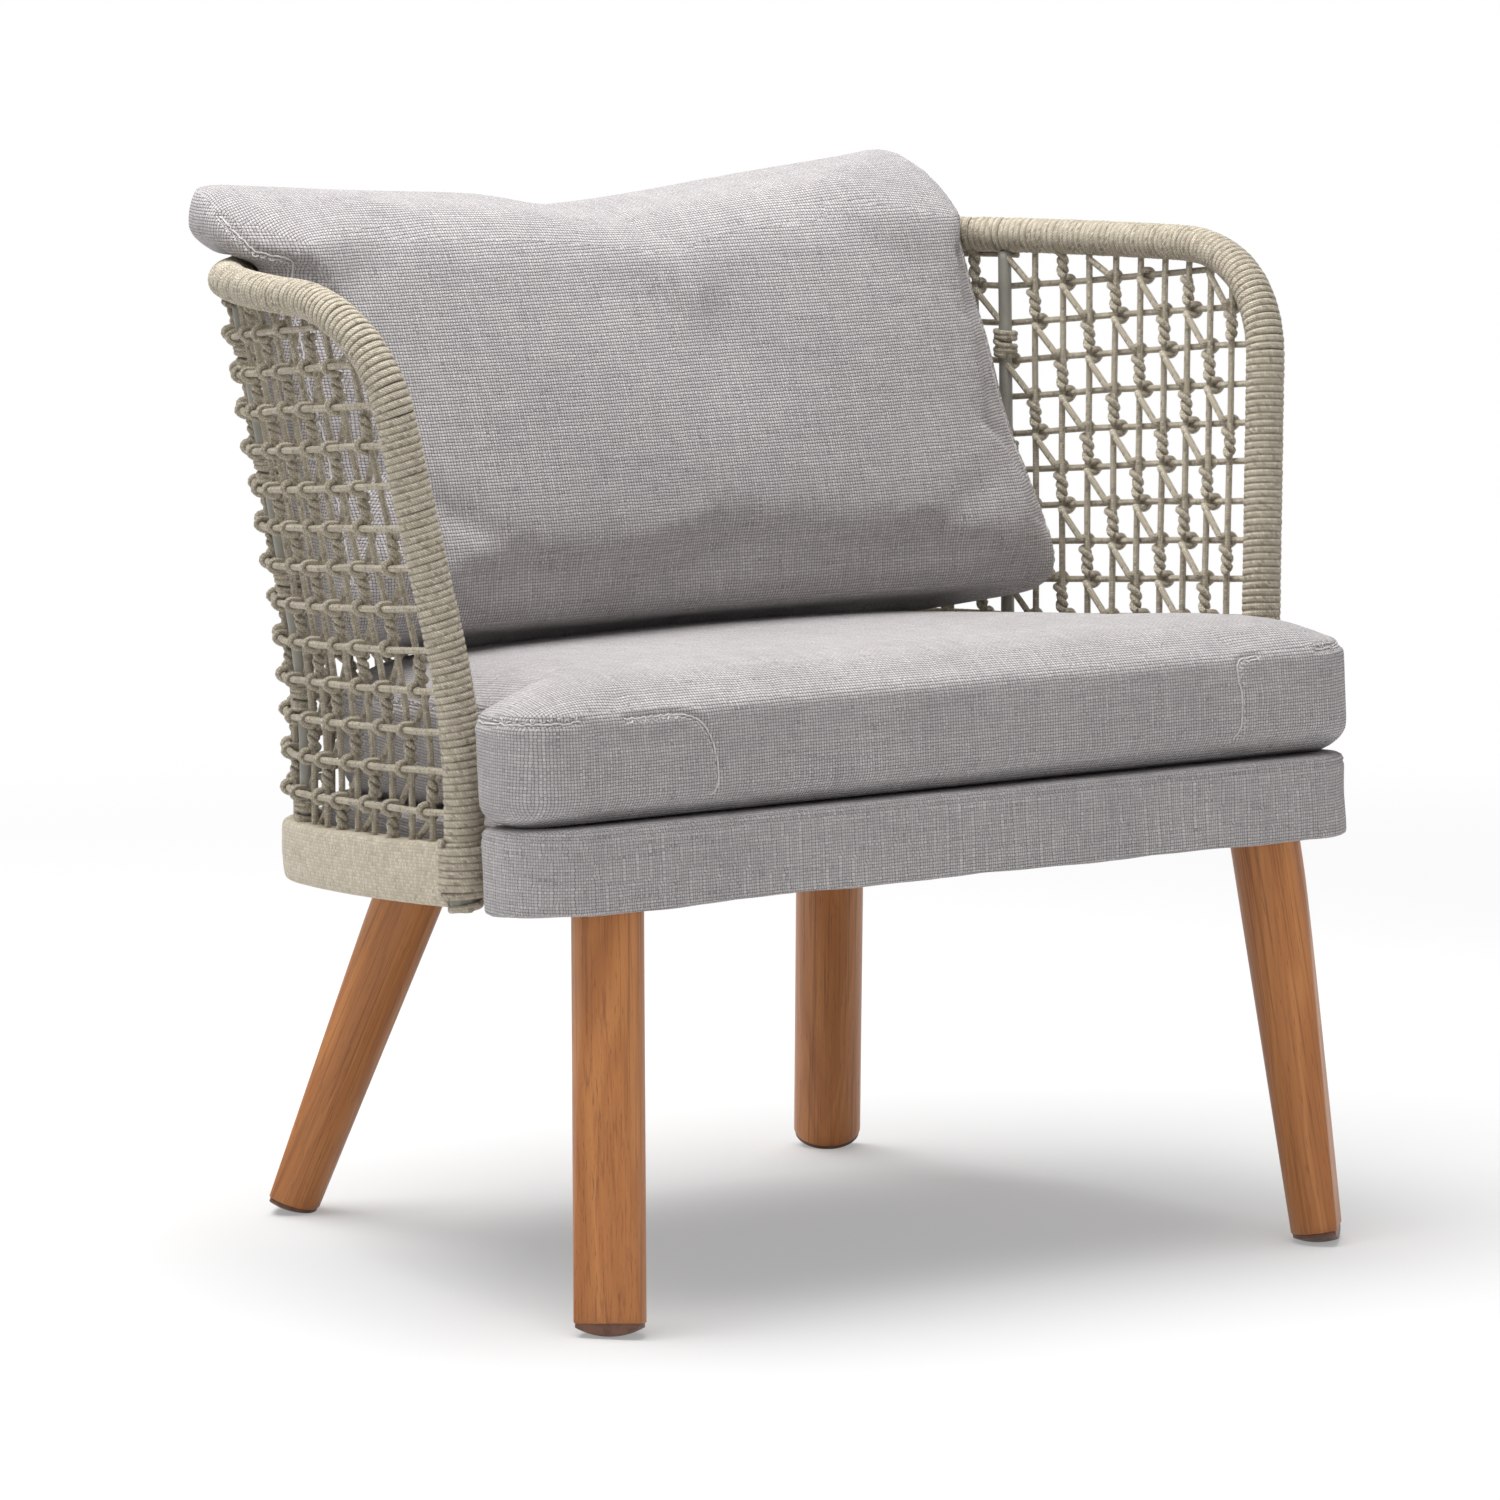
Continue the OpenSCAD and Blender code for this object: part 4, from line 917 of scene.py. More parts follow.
@dataclass
class RopeMesh:
    """Rows, upright cords and the knotted strands that run slanting from column to column."""

    finishes: Finishes
    plan: MeshPlan = MeshPlan()
    step: float = 2.0 * MM
    sides: int = 7
    sway: float = 0.35 * MM

    def panel(self, c: int) -> str:
        """Return the name of the panel that a column or the cell after it belongs to."""
        return "right" if c >= 0 else "rear" if c >= self.plan.left_bar else "left"

    def rows_path(self, k: int, rng: random.Random) -> np.ndarray:
        """Return the centre line of row k from upright to upright."""
        plan, half = self.plan, self.plan.length / 2
        runs = np.linspace(0.009, half, 260)
        free = [r for r in runs if self.plan.row(k, r) < plan.top(r) - ROPE_R * 0.6]
        start = min(free) if k > 0 else plan.shell.side_len - 7 * MM
        line = np.concatenate([np.arange(start, half, 2.5 * MM), [half]])
        line = np.concatenate([line, plan.length - line[-2::-1]])
        phases = [rng.uniform(0, 2 * math.pi) for _ in range(3)]
        wave = sum(0.6 ** i * np.sin(line / (0.043 / (i + 1)) + p) for i, p in enumerate(phases))
        places = [(r, plan.row(k, r) - (1.2 * ROPE_R if k == 0 else 0) + self.sway * w, plan.row_off)
                  for r, w in zip(line, wave)]
        return plan.points(np.array(places))

    def build_rows(self) -> None:
        """Make the rows, with the one tucked up under the rail."""
        rng, bin_ = random.Random(11), MeshBin()
        for k in range(self.plan.rows + 1):
            add_cord(bin_, self.rows_path(k, rng), ROPE_R, ROPE_R, self.sides)
        self.finishes.dress(bin_.build("row_cords"), "rope", "row_ropes")

    def upright_path(self, c: int, rng: random.Random) -> np.ndarray:
        """Return the centre line of an upright cord, which gives way where a strand twists round it."""
        plan, run = self.plan, self.plan.run(c)
        high, low = plan.top(run) + 4 * MM, plan.bottom(run) - 6 * MM
        z = np.linspace(high, low, int((high - low) / (1.6 * MM)))
        side, off = np.zeros_like(z), np.zeros_like(z)
        for gap in range(plan.rows + 1):
            twist = plan.twist(c, gap)
            if twist is None:
                continue
            t = (twist[0] - z) / (twist[0] - twist[1])
            here = (t > 0) & (t < 1)
            angle, reach = plan.orbit(c, t[here], twist[0] - twist[1])
            side[here] -= np.sin(angle) * (plan.front - reach)
            off[here] += np.cos(angle) * (plan.front - reach)
        side += self.sway * np.sin(z / 0.031 + rng.uniform(0, 6))
        return plan.points(np.stack([run + side, z, off], 1))

    def build_uprights(self) -> None:
        """Make the upright cords of the three panels."""
        rng, plan = random.Random(12), self.plan
        for name, first, last in (("left", plan.left_bar - plan.left_ropes, plan.left_bar - 1),
                                  ("rear", plan.left_bar + 1, -1), ("right", 1, plan.right_ropes)):
            bin_ = MeshBin()
            for c in range(first, last + 1):
                add_cord(bin_, self.upright_path(c, rng), ROPE_R, ROPE_R, self.sides)
            self.finishes.dress(bin_.build(f"{name}_upright_cords"), "rope", f"{name}_upright_ropes")

    def twist_path(self, c: int, gap: int) -> np.ndarray | None:
        """Return the centre line of a strand's twist round a column in a gap.

        Args:
            c: the column.
            gap: gap between two rows, counted from the rail.

        Returns:
            The centre line, or None where no strand twists.
        """
        plan, twist = self.plan, self.plan.twist(c, gap)
        if twist is None:
            return None
        span = twist[0] - twist[1]
        t = np.linspace(0, 1, 44 if plan.is_bar(c) else 26)
        angle, reach = plan.orbit(c, t, span)
        centre = plan.bar_off if plan.is_bar(c) else 0.0
        return plan.points(np.stack([plan.run(c) + reach * np.sin(angle), twist[0] - span * t,
                                     centre - reach * np.cos(angle)], 1))

    def slant_path(self, c: int, gap: int, rng: random.Random) -> np.ndarray | None:
        """Return the centre line of a strand from column c down to the next one, hitched round both rows.

        Args:
            c: the column that it leaves.
            gap: gap between two rows, counted from the rail.
            rng: source of the small unevenness.

        Returns:
            The centre line, or None in a gap that is too low.
        """
        plan = self.plan
        a, b = plan.run(c), plan.run(c + 1)
        high, low = plan.row(gap, a), plan.row(gap + 1, b)
        if high - low < 2.2 * ROPE_D:
            return None
        jog = rng.uniform(-0.5, 0.5) * MM
        lead, catch = (plan.bar_r + ROPE_R - plan.bar_off if plan.is_bar(k) else plan.front
                       for k in (c, c + 1))
        if plan.is_row(gap, a):
            start = [(3.7, 4.6, -lead / MM + 2.3), (3.6, 4.2, 1.2), (3.3, 3.4, 7.4), (3.2, -0.4, 9.4),
                     (3.1, -3.8, 5.8), (2.9, -3.6, 0.4), (2.5, -2.2, -4.7)]
        else:
            start = [(0.6, 3.0, 0.0), (1.8, -2.6, -3.6)]
        if plan.is_row(gap + 1, b):
            end = [(-2.4, 2.2, -5.0), (-3.2, 3.4, -0.6), (-3.3, 3.5, 6.2), (-3.3, -0.4, 9.4),
                   (-3.4, -3.9, 5.6), (-3.8, -4.4, 0.6), (-4.1, -5.0, -catch / MM + 3.4)]
        else:
            end = [(-2.6, 3.0, -4.6), (-1.0, -3.0, -2.0)]
        first = np.array([a, high, 0]) + np.array(start[-1]) * MM
        last = np.array([b, low, 0]) + np.array(end[0]) * MM
        straight = [tuple(first + (last - first) * t) for t in (0.15, 0.5, 0.85)]
        places = ([(a + x * MM, high + z * MM, off * MM) for x, z, off in start]
                  + [(x, z + jog, off) for x, z, off in straight]
                  + [(b + x * MM, low + z * MM, off * MM) for x, z, off in end])
        return plan.points(resampled(curve_through(np.array(places)), self.step))

    def build_strands(self) -> None:
        """Make the slanting strands of the three panels, and their turns round the two rear bars."""
        rng, plan = random.Random(13), self.plan
        bins = {name: MeshBin() for name in ("left", "rear", "right", "left_bar", "right_bar")}
        for c in range(plan.left_bar - plan.left_ropes, plan.right_ropes + 1):
            bar = {0: "right_bar", plan.left_bar: "left_bar"}.get(c)
            for gap in range(plan.rows + 1):
                twist = self.twist_path(c, gap)
                if twist is not None:
                    add_cord(bins[bar or self.panel(c)], twist, ROPE_R, ROPE_R, self.sides)
                if (c + gap) % 3 == 0 and c < plan.right_ropes:
                    slant = self.slant_path(c, gap, rng)
                    if slant is not None:
                        add_cord(bins[self.panel(c)], slant, ROPE_R, ROPE_R, self.sides)
        for name in ("left", "rear", "right"):
            self.finishes.dress(bins[name].build(f"{name}_strands"), "rope", f"{name}_slant_ropes")
        for name in ("left_bar", "right_bar"):
            self.finishes.dress(bins[name].build(f"{name}_turns"), "rope", f"{name}_ties")

    def build_bars(self) -> None:
        """Make the two painted rear bars."""
        plan = self.plan
        for name, c in (("left", plan.left_bar), ("right", 0)):
            run = plan.run(c)
            z = np.linspace(plan.top(run), plan.bottom(run) + FIT, 60)
            bin_ = MeshBin()
            add_cord(bin_, plan.points(np.stack([np.full_like(z, run), z, np.full_like(z, plan.bar_off)], 1)),
                     plan.bar_r, plan.bar_r, 24)
            self.finishes.dress(bin_.build(f"{name}_back_bar"), "painted_frame", f"{name}_rear_bar")

    def build(self) -> None:
        """Make the whole mesh."""
        self.build_rows()
        self.build_uprights()
        self.build_strands()
        self.build_bars()


@dataclass
class Windings:
    """Cord wound round the rail, the uprights and their feet."""

    finishes: Finishes
    plan: MeshPlan = MeshPlan()
    cord_w: float = 5.3 * MM
    cord_t: float = 3.0 * MM
    slit: float = 1.7 * MM
    per_turn: int = 26
    stand: float = 0.6 * MM
    foot_half: tuple[float, float] = (18.0 * MM, 18.5 * MM)

    def rail_line(self, side: Side) -> tuple[np.ndarray, np.ndarray]:
        """Return points and outward directions from an upright's foot up to the middle of the rear."""
        shell = self.plan.shell
        low = shell.rail_at(0) - shell.bend_drop
        places = [(0.0, z) for z in np.linspace(shell.belt_top(shell.foot.start_y), low, 60)[:-1]]
        places += [shell.bend_at(t) for t in np.linspace(0, 1, 50)[:-1]]
        places += [(a, shell.rail_at(a)) for a in np.linspace(shell.bend_run, shell.rail.half_len, 220)]
        both = [shell.place(a, z, 0.0, side) for a, z in places]
        return np.array([p for p, _ in both]), np.array([o for _, o in both])

    def wind(self, bin_: MeshBin, path: np.ndarray, outs: np.ndarray, marks: np.ndarray,
             half: tuple[float, float], rng: random.Random, close_in: float = 0.0) -> None:
        """Wind a cord round a line.

        Args:
            bin_: mesh that takes the cord.
            path: the line.
            outs: outward direction at each of its points.
            marks: distance along the line at the start of each turn.
            half: half sizes of the wound section, outwards and across.
            rng: source of the small unevenness.
            close_in: share by which the first turn is drawn in to close the end.
        """
        run = run_of(path)
        turns = np.arange((len(marks) - 1) * self.per_turn + 1) / self.per_turn
        uneven = np.array([rng.uniform(-1, 1) for _ in marks])
        tilt = np.interp(turns, np.arange(len(marks)), uneven)
        s = np.interp(turns, np.arange(len(marks)), marks)
        if close_in:
            s = np.maximum(s - 0.8 * (marks[1] - marks[0]) * np.maximum(2.2 - turns, 0), marks[0])
        s = s + 0.35 * MM * tilt * np.sin(2 * math.pi * turns)
        centre = np.stack([np.interp(s, run, path[:, i]) for i in range(3)], 1)
        out = unit(np.stack([np.interp(s, run, outs[:, i]) for i in range(3)], 1))
        slope = np.gradient(path, axis=0)
        way = unit(np.stack([np.interp(s, run, slope[:, i]) for i in range(3)], 1))
        out = unit(out - way * np.sum(out * way, 1, keepdims=True))
        up = np.cross(way, out)
        angle = 2 * math.pi * turns[:, None]
        draw = 1 - close_in * np.maximum(1 - turns / 3.0, 0)[:, None] ** 2
        a, b = (half[0] - self.cord_t / 2) * draw, (half[1] - self.cord_t / 2) * draw
        lift = 0.18 * MM * tilt[:, None]
        radial = unit(np.cos(angle) / half[0] * out + np.sin(angle) / half[1] * up)
        line = centre + a * np.cos(angle) * out + b * np.sin(angle) * up + lift * radial
        add_cord(bin_, line, self.cord_t / 2, self.cord_w / 2, 10, radial, 0.72)

    def even_marks(self, start: float, end: float) -> np.ndarray:
        """Return the starts of even turns between two distances."""
        return np.linspace(start, end, int(round((end - start) / (self.cord_w - 0.2 * MM))) + 1)

    def rail_marks(self, start: float, half_run: float) -> np.ndarray:
        """Return the turns along the rail, parted by a slit wherever an upright cord goes in.

        Args:
            start: distance at which the rail's winding starts.
            half_run: distance at the middle of the rear.

        Returns:
            The distance at the start of each turn, in order.
        """
        plan = self.plan
        lead = half_run - plan.length / 2
        columns = [plan.run(c) for c in range(plan.left_bar - plan.left_ropes, plan.right_ropes + 1)]
        bent = plan.shell.bend_run * 0.9
        slits = [lead + r for r in columns if bent < r < plan.length - bent]
        marks = [self.even_marks(start, slits[0] - self.slit / 2)]
        for a, b in zip(slits[:-1], slits[1:]):
            count = max(int(round((b - a - self.slit) / (self.cord_w - 0.35 * MM))), 2)
            marks.append(np.linspace(a + self.slit / 2, b - self.slit / 2, count + 1)[:-1])
        marks.append(self.even_marks(slits[-1] + self.slit / 2, 2 * half_run - start))
        return np.unique(np.concatenate(marks))

    def build(self) -> None:
        """Make the five windings."""
        rng, shell = random.Random(21), self.plan.shell
        half = (shell.wound_w / 2 + self.stand, shell.wound_h / 2 + self.stand)
        (left, left_out), (right, right_out) = self.rail_line(Side.LEFT), self.rail_line(Side.RIGHT)
        path = np.vstack([left, right[-2::-1]])
        outs = np.vstack([left_out, right_out[-2::-1]])
        run = run_of(path)
        bend_at = float(run[59])
        rail = MeshBin()
        self.wind(rail, path, outs, self.rail_marks(bend_at, run[-1] / 2), half, rng)
        self.finishes.dress(rail.build("rail_cord"), "rope", "rail_winding")
        for name, span in (("left", (0.0, bend_at)), ("right", (run[-1] - bend_at, run[-1]))):
            bin_ = MeshBin()
            self.wind(bin_, path, outs, self.even_marks(*span), half, rng)
            self.finishes.dress(bin_.build(f"{name}_upright_cord"), "rope", f"{name}_upright_winding")
        for side in Side:
            self.build_foot(side, rng)

    def build_foot(self, side: Side, rng: random.Random) -> None:
        """Wind the foot of an upright together with the end of the belt."""
        shell = self.plan.shell
        x, y, h = shell.foot.point(0.0)
        z = np.linspace(shell.base_z - 0.6 * MM, shell.belt_top(y) + 1.5 * MM, 30)
        path = np.stack([np.full_like(z, side.value * x), np.full_like(z, y + 1.0 * MM), z], 1)
        outs = np.tile([side.value * math.cos(h), math.sin(h), 0.0], (30, 1))
        bin_ = MeshBin()
        marks = self.even_marks(0.0, float(z[-1] - z[0]))
        self.wind(bin_, path, outs, marks, self.foot_half, rng, close_in=0.9)
        name = side.name.lower()
        self.finishes.dress(bin_.build(f"{name}_foot_cord"), "rope", f"{name}_foot_wrap")


# --- base: belt and platform ---
def t_outline(half_w: float, front: float, corner_r: float, lobe_r: float, inset: float, grow: float,
              count: int = 600) -> np.ndarray:
    """Return the T-shaped outline of the platform or the seat cushion, as x and y.

    Args:
        half_w: half width of the lobes in front of the uprights.
        front: depth of the front edge.
        corner_r: radius of the front corners.
        lobe_r: radius of the lobes' rear corners.
        inset: distance inside the base ring's line.
        grow: growth outwards of the whole outline.
        count: points on the outline, at an even step.

    Returns:
        One row for each point.
    """
    foot, notch_r = SHELL.foot, 10 * MM
    lobe_y = foot.start_y - SHELL.wound_h / 2 - 14 * MM

    def arc(cx: float, cy: float, r: float, start: float, end: float) -> list[tuple[float, float]]:
        """Return a round stretch of the outline, between two angles in degrees."""
        turn = np.radians(np.linspace(start, end, 15))
        return [(cx + r * math.cos(t), cy + r * math.sin(t)) for t in turn]

    start = lobe_y + notch_r - foot.start_y
    neck = foot.point(start, -inset)[0]
    side = np.concatenate([np.linspace(start + 6 * MM, foot.side_len, 26),
                           np.linspace(foot.side_len, foot.corner_end, 24)[1:]])
    half = (arc(half_w - corner_r, front + corner_r, corner_r + grow, -90, 0)
            + arc(half_w - lobe_r, lobe_y - lobe_r, lobe_r + grow, 0, 90)
            + arc(neck + notch_r, lobe_y + notch_r, notch_r - grow, 270, 180)
            + [foot.point(s, grow - inset)[:2] for s in side])
    whole = np.array(half + [(-x, y) for x, y in half[::-1]] + half[:1])
    run = run_of(whole)
    marks = np.linspace(0, run[-1], count + 1)[:-1]
    return np.stack([np.interp(marks, run, whole[:, i]) for i in (0, 1)], 1)


def lay_cloth(obj: bpy.types.Object, outline: np.ndarray | None = None) -> None:
    """Give a piece of upholstery surface coordinates that follow its cloth, in metres.

    Args:
        obj: the piece.
        outline: closed outline that the walls follow, or None to lay the cloth on flat from each side.
    """
    mesh = obj.data
    layer = mesh.uv_layers.get(LAY) or mesh.uv_layers.new(name=LAY)
    co, normals = coordinates(obj), np.abs(vectors_in(mesh.polygons, "normal"))
    loop_vert = np.empty(len(mesh.loops), dtype=np.int32)
    mesh.loops.foreach_get("vertex_index", loop_vert)
    totals = np.empty(len(mesh.polygons), dtype=np.int32)
    mesh.polygons.foreach_get("loop_total", totals)
    face = np.repeat(np.arange(len(totals)), totals)
    p, n = co[loop_vert], normals[face]
    uv = p[:, [0, 2]].copy()
    side_on, top_on = (n[:, 0] > n[:, 1]) & (n[:, 0] > n[:, 2]), n[:, 2] > np.maximum(n[:, 0], n[:, 1])
    uv[side_on] = p[side_on][:, [1, 2]]
    if outline is not None:
        closed = np.vstack([outline, outline[:1]])
        run = run_of(closed)
        dense = resampled(np.column_stack([closed, run]), 3 * MM)
        tree = kdtree.KDTree(len(dense))
        for i, (x, y, _) in enumerate(dense):
            tree.insert((x, y, 0.0), i)
        tree.balance()
        along = np.array([dense[tree.find((x, y, 0.0))[1]][2] for x, y, _ in co])
        wall = n[:, 2] < 0.72
        u = along[loop_vert]
        first = u[np.concatenate([[0], np.cumsum(totals)[:-1]])][face]
        u = np.where(u - first > run[-1] / 2, u - run[-1], np.where(first - u > run[-1] / 2, u + run[-1], u))
        uv[wall] = np.stack([u, p[:, 2]], 1)[wall]
        top_on = ~wall
    uv[top_on] = p[top_on][:, [0, 1]]
    layer.data.foreach_set("uv", uv.ravel())


LAYERS = (("seat_deck", "plywood", 36.0 * MM, 48.0 * MM), ("deck_foam", "foam", 48.0 * MM, 55.5 * MM),
          ("dust_cover", "dust_fabric", 0.0, 2.0 * MM))


@dataclass
class Base:
    """Belt round the base and the upholstered platform."""

    finishes: Finishes
    shell: Shell = SHELL
    belt_out: float = 9.0 * MM
    belt_in: float = -8.0 * MM
    belt_t: float = 2.7 * MM
    deck_half_w: float = 0.359
    deck_front: float = -0.2661
    corner_r: float = 0.052
    lobe_r: float = 0.032
    deck_h: float = 0.058
    deck_inset: float = 0.0195
    hem_turn: float = 0.020

    def outline(self, grow: float) -> np.ndarray:
        """Return the platform's level outline grown by a distance."""
        return t_outline(self.deck_half_w, self.deck_front, self.corner_r, self.lobe_r, self.deck_inset, grow)

    def build_belt(self) -> None:
        """Make the knitted belt, with its edges turned in over the ring."""
        h, t, out, into = self.shell.belt_h, self.belt_t, self.belt_out, self.belt_in
        bulge = 0.7 * MM
        face = np.array([(into, 0.1 * MM), (2 * MM, 0), (out - 4 * MM, 0.5 * MM), (out - 1.3 * MM, 2.4 * MM),
                         (out - 0.2 * MM, 6 * MM), (out + 0.4 * bulge, 12 * MM), (out + bulge, 22 * MM),
                         (out + 0.5 * bulge, 32 * MM), (out - 0.1 * MM, 38.5 * MM),
                         (out - 1.0 * MM, 41.8 * MM), (out - 3.2 * MM, h - 0.4 * MM), (2 * MM, h), (into, h)])
        back = [(into, h - t), (out - t - 2 * MM, h - t - 0.4 * MM), (out - t, h - 2 * t), (out - t, 2 * t),
                (out - t - 2 * MM, t), (into, t)]
        section = np.vstack([curve_through(face, 3), back])
        foot = self.shell.foot
        s = np.concatenate([np.arange(9 * MM, foot.half_len, 3 * MM), [foot.half_len]])
        lines = [(Side.LEFT, v) for v in s] + [(Side.RIGHT, v) for v in s[-2::-1]]
        rings = []
        for side, v in lines:
            x, y, turn = foot.point(v)
            edge = 0.35 * MM * math.sin(v / 0.019) * np.clip(section[:, 1] / h, 0, 1)
            rings.append(np.stack([side.value * (x + section[:, 0] * math.cos(turn)),
                                   y + section[:, 0] * math.sin(turn), section[:, 1] + edge], 1))
        girth = run_of(np.vstack([section, section[:1]]))
        bin_ = MeshBin()
        bin_.add_rings(self.shell.on_base(np.array(rings)), girth, np.arange(len(lines)) * 3 * MM)
        self.finishes.dress(face_outwards(bin_.build("base_belt_cover")), "belt_weave", "base_belt")

    def build_platform(self) -> None:
        """Make the platform's cloth, from the middle of its top down to the hem turned in below."""
        h = self.deck_h
        profile = [(-9 * MM, h + 0.3 * MM, s) for s in (0.02, 0.3, 0.6, 0.85, 0.96)]
        profile += [(-9 * MM, h + 0.3 * MM, 1.0), (-4.5 * MM, h - 0.2 * MM, 1.0),
                    (-1.6 * MM, h - 1.8 * MM, 1.0), (-0.2 * MM, h - 4.5 * MM, 1.0),
                    (-0.9 * MM, h - 6.3 * MM, 1.0), (0.0, h - 8.5 * MM, 1.0)]
        profile += [(0.2 * MM * math.sin(v * 7), v * (h - 11 * MM), 1.0) for v in np.linspace(1, 0.06, 12)]
        profile += [(-0.6 * MM, 0.6 * MM, 1.0), (-2.6 * MM, -0.5 * MM, 1.0), (-7 * MM, -0.7 * MM, 1.0),
                    (-self.hem_turn, -0.4 * MM, 1.0), (-self.hem_turn, 0.2 * MM, 1.0)]
        mid_y = (self.deck_front + self.shell.foot.rear_y) / 2
        rings = []
        for grow, height, share in profile:
            line = self.outline(grow)
            run = run_of(line)
            low = 1 - np.clip(height / 0.03, 0, 1)
            sag = (0.5 * MM * np.sin(run / 0.027) + 0.3 * MM * np.sin(run / 0.0113 + 1)
                   + 1.6 * MM * np.exp(-((line[:, 0] + 0.29) / 0.06) ** 2) * (line[:, 1] < -0.2)) * low
            ripple = 0.35 * MM * np.sin(run / 0.021 + height * 90) * (share == 1.0)
            way = unit(line - [0, mid_y])
            rings.append(np.column_stack([line[:, 0] * share + way[:, 0] * ripple,
                                          mid_y + (line[:, 1] - mid_y) * share + way[:, 1] * ripple,
                                          height - sag]))
        bin_ = MeshBin()
        count = len(rings[0])
        skin = self.shell.on_base(np.array(rings[::-1]))
        bin_.add_rings(skin, np.zeros(count + 1), np.zeros(len(rings)), False)
        obj = bin_.build("platform_cloth")
        close_tip(obj, count * (len(rings) - 1), count)
        lay_cloth(obj, self.outline(0.0))
        self.finishes.dress(face_outwards(obj), "platform_fabric", "platform_cover")

    def build_layer(self, node: str, finish: str, low: float, high: float) -> None:
        """Make one of the flat layers inside the platform's cloth.

        Args:
            node: node that the layer stands for.
            finish: its finish.
            low: height of its underside on the base plane.
            high: height of its upper face.
        """
        ease = min(1.5 * MM, (high - low) / 3)
        rings = []
        for grow, height in ((-ease, low), (0.0, low + ease), (0.0, high - ease), (-ease, high)):
            line = self.outline(grow - 3.2 * MM)
            rings.append(np.column_stack([line, np.full(len(line), height)]))
        bin_ = MeshBin()
        count = len(rings[0])
        bin_.add_rings(self.shell.on_base(np.array(rings)), np.arange(count + 1) * 4 * MM, np.arange(4) * MM)
        layer = face_outwards(bin_.build(f"{node}_layer"))
        layer.data.set_sharp_from_angle(angle=math.radians(50))
        self.finishes.dress(layer, finish, node)

    def build(self) -> None:
        """Make the belt and the platform."""
        self.build_belt()
        self.build_platform()
        for layer in LAYERS:
            self.build_layer(*layer)


def close_tip(obj: bpy.types.Object, start: int, count: int) -> None:
    """Close a small ring of vertices with one face.

    Args:
        obj: the piece.
        start: number of its first vertex.
        count: vertices in the ring.
    """
    mesh = obj.data
    faces = [list(f.vertices) for f in mesh.polygons] + [list(range(start, start + count))]
    points = [v.co[:] for v in mesh.vertices]
    mesh.clear_geometry()
    mesh.from_pydata(points, [], faces)
    mesh.shade_smooth()


def face_outwards(obj: bpy.types.Object) -> bpy.types.Object:
    """Turn all faces of a piece outwards and return it."""
    work = bmesh.new()
    work.from_mesh(obj.data)
    bmesh.ops.recalc_face_normals(work, faces=work.faces)
    work.to_mesh(obj.data)
    work.free()
    return obj


# --- legs ---
@dataclass(frozen=True)
class LegPlace:
    """Where a leg meets the base plane and how far it leans on its way to the floor."""

    name: str
    x: float
    y: float
    lean_x: float
    lean_y: float


